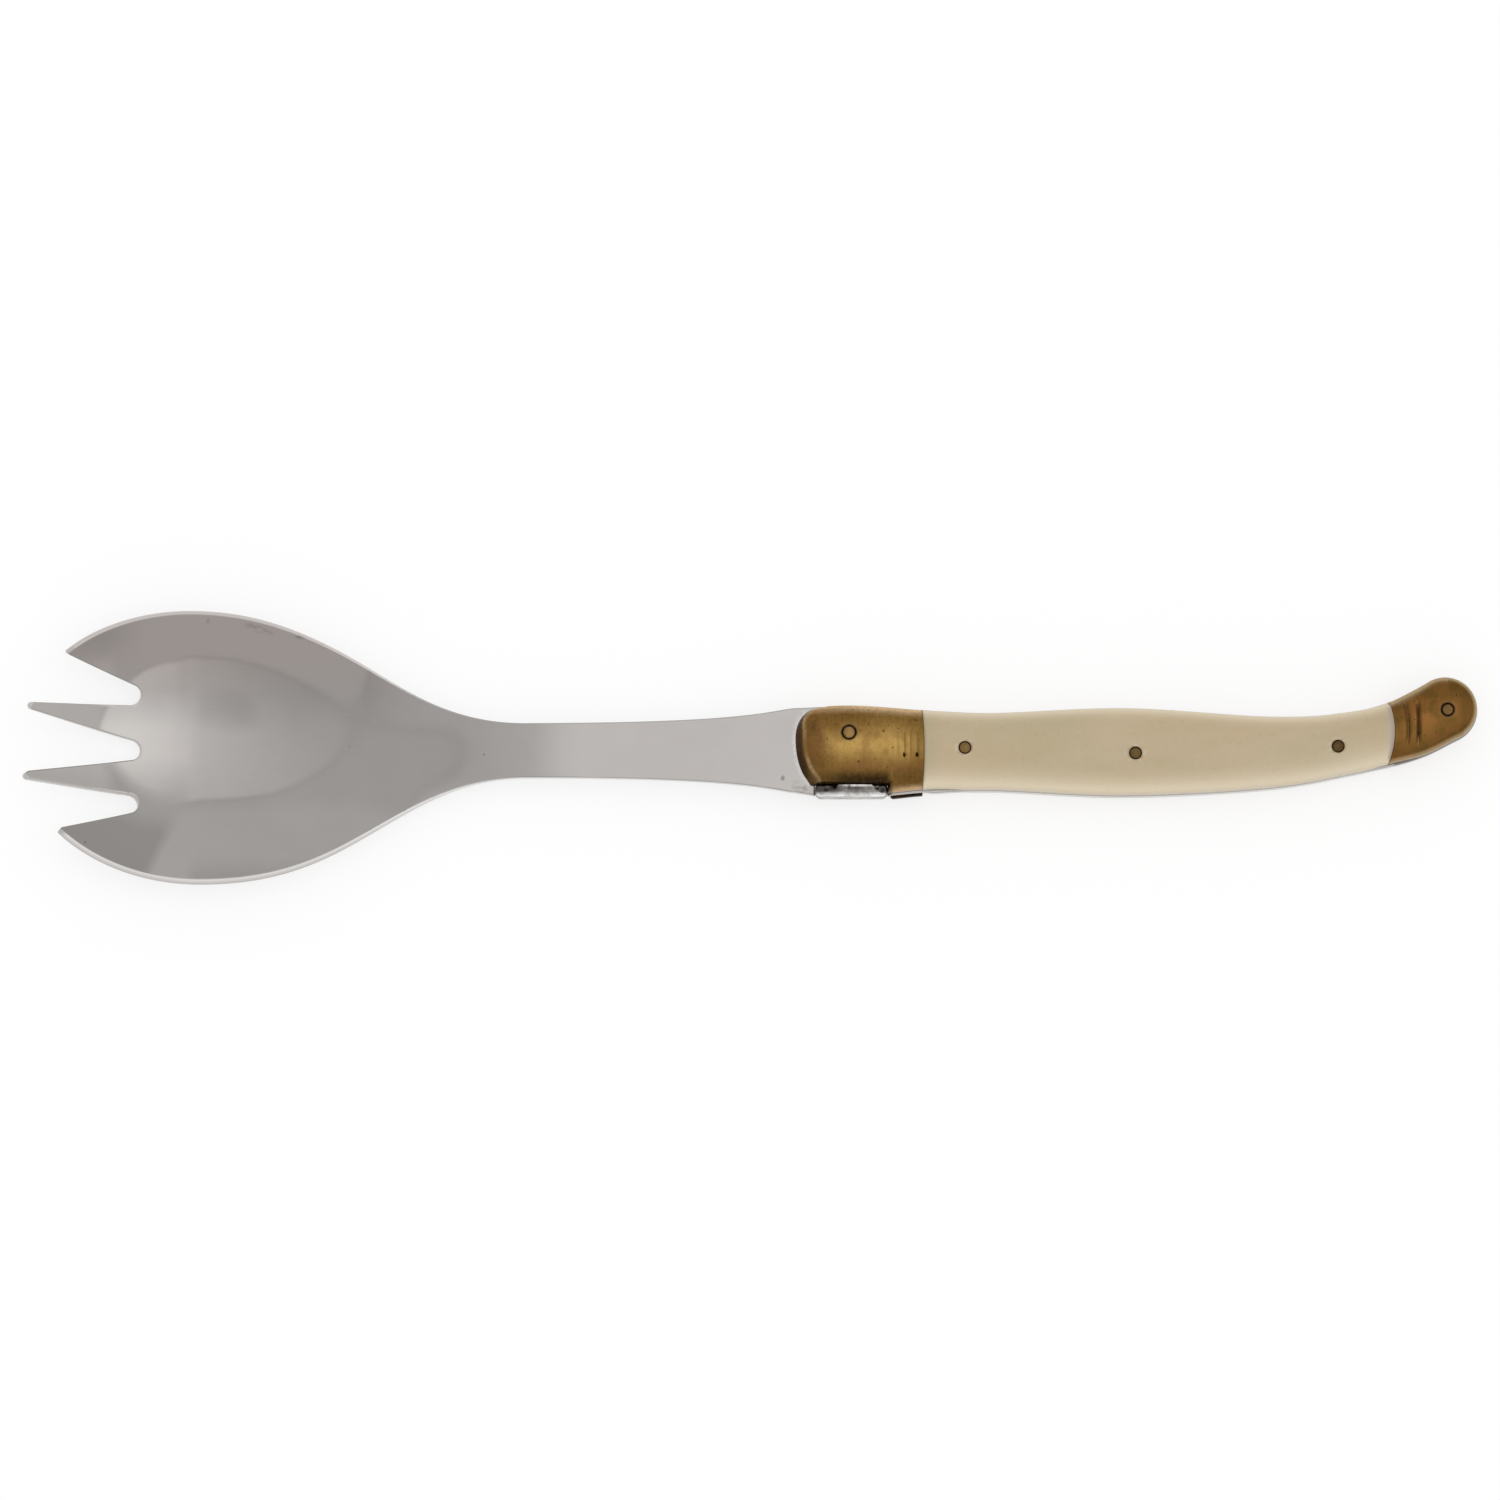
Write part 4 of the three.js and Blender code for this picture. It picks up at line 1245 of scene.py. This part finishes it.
# painted highlight on the outer edge and the lip
shine = times(tree, worn(tree, "edge"), ranged(tree, blotches, 0.35, 0.55, 0.55, 1.0))
tone = mixed(tree, shine, tone, (0.93, 0.90, 0.89, 1))
dirt_and_shade = times(tree, worn(tree, "grime_and_shade"), ranged(tree, blotches, 0.3, 0.6, 1.0, 0.6))
tone = mixed(tree, dirt_and_shade, tone, (0.02, 0.018, 0.016, 1))
shader.inputs["Metallic"].default_value = 1
tree.links.new(tone, shader.inputs["Base Color"])
tree.links.new(ranged(tree, blotches, 0.3, 0.7, 0.4, 0.2), shader.inputs["Roughness"])
roughened(tree, shader, noise(tree, place, 2.5, 4), 0.05)
count_nodes(battered)

# %% [markdown]
# ### Aged brass
# Hands have polished the middle of the bolster, where a painted sheen brightens it further, and left a brown
# patina towards its edges, coppery where the zinc has gone. The edges carry a painted highlight, and dirt and
# painted shade sit in the corners, the notch, the pin holes and the groove flanks. The marks come from the
# values on the vertices, and noise at several scales breaks them up. The bolster, the caps and the pins have
# the same kind of finish in different tones.

# %% Aged brass
def brass_finish(name, patina, gold, copper, pale, polish_and_sheen_weight):
    finish, tree, shader = new_finish(name)
    place = place_on(tree)
    clouds = noise(tree, place, 0.28, 4)
    fine = noise(tree, place, 1.9, 4, 0.6)
    rubbed = noise(tree, place_on(tree, (3.2, 0.22, 1)), 1.0, 3)
    share = weighed(
        tree, (worn(tree, "polish_and_sheen"), polish_and_sheen_weight), (clouds, 0.5), (fine, 0.45), (rubbed, 0.3), -0.5,
    )
    tone = mixed(tree, ranged(tree, share, 0.0, 1.0), patina, gold)
    blotches = noise(tree, place_on(tree, (1, 0.7, 1)), 0.45, 5, 0.65)
    tone = mixed(tree, ranged(tree, blotches, 0.47, 0.62, 0, 0.4), tone, colour(122, 80, 42))
    patches = noise(tree, place_on(tree, (1, 0.6, 1)), 0.5, 5, 0.6)
    bare = times(tree, ranged(tree, patches, 0.4, 0.58, 0.1, 0.85), worn(tree, "bare"))
    tone = mixed(tree, bare, tone, copper)
    pits = ranged(tree, noise(tree, place, 1.3, 1.5), 0.69, 0.74, 0, 0.75)
    tone = mixed(tree, pits, tone, colour(48, 40, 20))
    # painted highlight on the edges
    edge_highlight_mix = times(tree, worn(tree, "edge"), ranged(tree, fine, 0.3, 0.6, 0.65, 1))
    tone = mixed(tree, edge_highlight_mix, tone, pale)
    # dirt and painted shade in the corners, the notch, the pin holes and the groove flanks
    dirt_and_shade = times(tree, worn(tree, "grime_and_shade"), ranged(tree, fine, 0.35, 0.7, 1, 0.75))
    tone = mixed(tree, dirt_and_shade, tone, colour(34, 27, 19))
    shader.inputs["Metallic"].default_value = 1
    tree.links.new(tone, shader.inputs["Base Color"])
    dull = weighed(tree, (ranged(tree, fine, 0.3, 0.7, 0.2, 0.36), 1.0), (dirt_and_shade, 0.3))
    tree.links.new(dull, shader.inputs["Roughness"])
    roughened(tree, shader, weighed(tree, (fine, 1.0), (pits, -1.0), 0), 0.03, 0.5)
    count_nodes(finish)
    return finish


brass = brass_finish(
    "aged_brass",
    patina=colour(118, 86, 40),
    gold=colour(189, 153, 88),
    copper=colour(136, 88, 58),
    pale=colour(210, 178, 138),
    polish_and_sheen_weight=0.8,
)
cap_brass = brass_finish(
    "browned_brass",
    patina=colour(108, 81, 37),
    gold=colour(128, 98, 49),
    copper=colour(164, 108, 60),
    pale=colour(184, 164, 128),
    polish_and_sheen_weight=0.15,
)
pin_brass = brass_finish(
    "pin_brass",
    patina=colour(138, 108, 64),
    gold=colour(182, 150, 100),
    copper=colour(150, 110, 66),
    pale=colour(190, 160, 112),
    polish_and_sheen_weight=0.3,
)

# %% [markdown]
# ### Ivory-coloured resin
# The scales are a creamy resin with a soft cloudiness and a few grey specks, and a painted highlight
# lightens both edges. It is not metal, so colour comes from its body and a soft gloss
# from its surface.

# %% Ivory-coloured resin
ivory, tree, shader = new_finish("ivory_resin")
place = place_on(tree)
clouds = noise(tree, place_on(tree, (0.35, 1, 1)), 0.16, 4)
warmth = noise(tree, place_on(tree, (0.25, 0.7, 1)), 0.11, 3)
fine = noise(tree, place, 0.9, 4)
along = node(tree, "ShaderNodeSeparateXYZ", {0: place}).outputs[0]
tone = mixed(tree, ranged(tree, clouds, 0.32, 0.68), colour(199, 179, 142), colour(209, 191, 158))
tone = mixed(tree, ranged(tree, warmth, 0.4, 0.6, 0, 0.5), tone, colour(206, 180, 144))
tone = mixed(tree, ranged(tree, warmth, 0.5, 0.3, 0, 0.5), tone, colour(196, 182, 146))
tone = mixed(tree, ranged(tree, fine, 0.45, 0.7, 0, 0.12), tone, colour(214, 200, 172))
specks = ranged(tree, noise(tree, place, 0.5, 1.5), 0.79, 0.86, 0, 0.22)
tone = mixed(tree, specks, tone, colour(128, 128, 104))
near_cap = ranged(tree, along, CAP_JOINT - 1.6, CAP_JOINT - 0.5, 0, 0.6)
tone = mixed(tree, near_cap, tone, colour(192, 180, 176))
near_bolster = ranged(tree, along, BOLSTER_JOINT + 3, BOLSTER_JOINT + 0.4, 0, 0.5)
tone = mixed(tree, near_bolster, tone, colour(184, 175, 142))
# painted highlight along both edges
tone = mixed(tree, times(tree, worn(tree, "edge"), 0.85), tone, colour(250, 235, 206))
tone = mixed(tree, times(tree, worn(tree, "grime_and_shade"), 0.5), tone, colour(128, 112, 84))
tree.links.new(tone, shader.inputs["Base Color"])
tree.links.new(ranged(tree, fine, 0.3, 0.7, 0.26, 0.36), shader.inputs["Roughness"])
count_nodes(ivory)

# %% [markdown]
# ## Dressing the frame
# The fork is one rigid body, so every piece rides on the root. Each piece stands in for one CAD node, which
# is then hidden.

# %% Give each piece its finish, its body and the CAD node that it stands for
DRESS = [
    (blank, steel, "steel", "fork_blank"),
    (plate, battered, "steel", "spine_plate"),
    (top_bolster, brass, "brass", "top_bolster"),
    (bottom_bolster, brass, "brass", "bottom_bolster"),
    (top_cap, cap_brass, "brass", "top_butt_cap"),
    (bottom_cap, cap_brass, "brass", "bottom_butt_cap"),
    (top_scale, ivory, "ivory", "top_scale"),
    (bottom_scale, ivory, "ivory", "bottom_scale"),
    *[(pin, pin_brass, "pin_brass", name) for name, pin in pins.items()],
]
for piece, finish, slot_name, cad_node in DRESS:
    piece.data.materials.clear()
    piece.data.materials.append(finish)
    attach(piece, "root")
    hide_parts(cad_node)
print(len(DRESS), "pieces dressed")

# %% [markdown]
# ## Floor, light and camera
# The fork lies on a white sweep inside a light tent, with one large soft panel overhead. The sweep is a mid
# grey for the light that falls on it, and shines a little for the camera and for reflections, so it looks
# white and still keeps the fork's shadow.

# %% Floor
FLOOR_SIZE, FLOOR_GREY, FLOOR_LIFT = 60, 0.37, 0.71

bpy.ops.object.select_all(action="DESELECT")
bpy.ops.mesh.primitive_plane_add(size=FLOOR_SIZE)
floor = bpy.context.object
floor.name = "floor"
white, tree, shader = new_finish("white_sweep")
shader.inputs["Base Color"].default_value = (FLOOR_GREY, FLOOR_GREY, FLOOR_GREY, 1)
shader.inputs["Roughness"].default_value = 0.9
shader.inputs["Specular IOR Level"].default_value = 0.0
rays = node(tree, "ShaderNodeLightPath").outputs
seen = maths(tree, "MAXIMUM", rays["Is Camera Ray"], rays["Is Glossy Ray"])
seen = maths(tree, "MAXIMUM", seen, rays["Is Transmission Ray"])
shader.inputs["Emission Color"].default_value = (1, 1, 1, 1)
tree.links.new(times(tree, seen, FLOOR_LIFT), shader.inputs["Emission Strength"])
floor.data.materials.append(white)
count_nodes(white)

# %% [markdown]
# Polished steel shows what is round it, so the tent is drawn as the bowl mirrors it. A direction upwards is
# turned into a place on the tent's roof: u runs towards the handle and v across it. The panel is an oval
# there, short on the left, and a little skewed.

# %% Light tent: the panel's outline
PANEL_LEFT, PANEL_RIGHT = 0.24, 0.94
PANEL_ACROSS, PANEL_MIDDLE, PANEL_SKEW = 0.61, -0.045, 0.05

world = bpy.data.worlds.new("light_tent")
bpy.context.scene.world = world
world.use_nodes = True
tree = world.node_tree
background = tree.nodes["Background"]
add, less, product, over = (partial(maths, tree, name) for name in ("ADD", "SUBTRACT", "MULTIPLY", "DIVIDE"))
larger, power = partial(maths, tree, "MAXIMUM"), partial(maths, tree, "POWER")
slope = partial(ranged, tree)
axes = node(tree, "ShaderNodeSeparateXYZ", {0: node(tree, "ShaderNodeTexCoord").outputs["Generated"]}).outputs
up = larger(axes[2], 0.02)
u = over(axes[0], up)
v = over(axes[1], up)
u_share = larger(over(u, PANEL_RIGHT), over(u, -PANEL_LEFT))
middle = add(product(larger(u, 0.0), PANEL_SKEW), PANEL_MIDDLE)
middle = add(middle, slope(u, -0.08, 0.08, 0.0, 0.05))
v_share = over(less(v, middle), PANEL_ACROSS)
reach = maths(tree, "SQRT", add(product(u_share, u_share), product(v_share, v_share)))
soft = product(slope(v, 0.1, 0.35), slope(u, -0.1, 0.12))
inside = slope(reach, 1.02, less(0.98, product(soft, 0.2)))
print("panel reaches", PANEL_LEFT, "and", PANEL_RIGHT, "along,", PANEL_ACROSS, "across")

# %% [markdown]
# The panel is brighter towards the handle, dims to either side, and holds the faint shade of the camera. A
# colour ramp cannot hold more than 1, so its stops are halved and doubled again after it.

# %% Light tent: the panel's glow
PANEL_GLOW = {
    -0.24: 0.70, -0.16: 0.75, -0.1: 0.81, -0.07: 0.86, -0.04: 1.0, 0.005: 1.135, 0.13: 1.22, 0.46: 1.335,
}
GLOW_FROM, GLOW_SPAN, GLOW_UNIT = -0.25, 1.0, 2.0
CAMERA_U, CAMERA_V, CAMERA_SHADE = (-0.07, 0.034), (-0.2, 0.17), 0.11

ramp = node(tree, "ShaderNodeValToRGB", {0: slope(u, GLOW_FROM, GLOW_FROM + GLOW_SPAN)})
ramp.color_ramp.interpolation = "B_SPLINE"
stops = ramp.color_ramp.elements
stops.remove(stops[1])
for i, (at, glow) in enumerate(PANEL_GLOW.items()):
    stop = stops[0] if i == 0 else stops.new((at - GLOW_FROM) / GLOW_SPAN)
    stop.position = (at - GLOW_FROM) / GLOW_SPAN
    stop.color = (*[glow / GLOW_UNIT] * 3, 1)
glow = product(ramp.outputs[0], GLOW_UNIT)
off_axis = maths(tree, "ABSOLUTE", less(v, 0.07))
falloff = product(slope(u, -0.07, 0.02, 0.07, 0.27), slope(off_axis, 0.1, 0.42))
tilt = product(slope(u, 0.1, -0.05, 0.0, 0.17), v)
near_camera = add(
    power(over(less(u, CAMERA_U[0]), CAMERA_U[1]), 2.0),
    power(over(less(v, CAMERA_V[0]), CAMERA_V[1]), 2.0),
)
panel = add(product(glow, less(1.0, falloff)), tilt)
panel = less(panel, slope(near_camera, 1.4, 0.0, 0.0, CAMERA_SHADE))
print("glow from", min(PANEL_GLOW.values()), "to", max(PANEL_GLOW.values()))

# %% [markdown]
# The tent's walls are darker than the panel, with a pale patch beyond its far end and dim corners that
# show on the outer tines and the upper rim. Near the horizon everything turns to the white of the sweep.

# %% Light tent: walls, edge and horizon
WALL = 0.70
EDGE_SHADE = 0.09

beyond = product(slope(u, 0.75, 0.95), slope(u, 2.6, 1.0, 0.05, 0.21))
beyond = product(beyond, slope(maths(tree, "ABSOLUTE", v), 0.75, 0.4))
wedge = product(slope(u, -0.3, -0.02, 0.05, 0.08), slope(v, 0.5, 0.7))
wedge_side = less(u, product(less(v, 0.6), 0.38))
dark_corner = product(slope(wedge_side, -0.04, 0.1), slope(v, 0.6, 0.95, 0.0, 0.2))
dark_tine = product(slope(u, 0.4, 1.0, 0.0, 0.11), slope(v, -0.5, -0.9))
low_rim = product(slope(u, -0.02, -0.06), slope(v, 1.3, 1.9, 0.0, 0.14))
wall = add(add(beyond, wedge), WALL)
for shade in (dark_corner, dark_tine, low_rim):
    wall = less(wall, shade)
panel_edge = product(slope(reach, 0.95, 0.995), slope(reach, 1.05, 1.005))
panel_edge = less(panel_edge, product(panel_edge, soft))
light = add(wall, product(inside, less(panel, wall)))
light = less(light, product(panel_edge, EDGE_SHADE))
horizon = slope(axes[2], 0.34, 0.12)
light = add(light, product(horizon, less(1.0, light)))
tree.links.new(light, background.inputs["Strength"])
background.inputs["Color"].default_value = (1, 1, 1, 1)
print("light tent:", len(tree.nodes), "nodes")

# %% [markdown]
# The camera looks almost straight down, tilted a little towards the lower edge, from so far away that lines
# stay parallel.

# %% Camera
TILT = math.radians(7)
DISTANCE = 2.0
FRAME_WIDTH = 0.2476
FRAME_SHIFT = -0.125
SENSOR = 36

target = Vector((FRAME_SHIFT * MM, NECK_AXIS * MM, TANG_TOP * MM))
back = Vector((0, -math.sin(TILT), math.cos(TILT)))
camera_data = bpy.data.cameras.new("camera")
camera_data.sensor_width = SENSOR
camera_data.lens = SENSOR * DISTANCE / FRAME_WIDTH
camera_data.clip_end = 100
camera = bpy.data.objects.new("camera", camera_data)
bpy.context.scene.collection.objects.link(camera)
camera.location = target + DISTANCE * back
camera.rotation_euler = (TILT, 0, 0)
bpy.context.scene.camera = camera
bpy.context.scene.view_settings.view_transform = "Standard"
print("lens", round(camera_data.lens, 1), "mm")
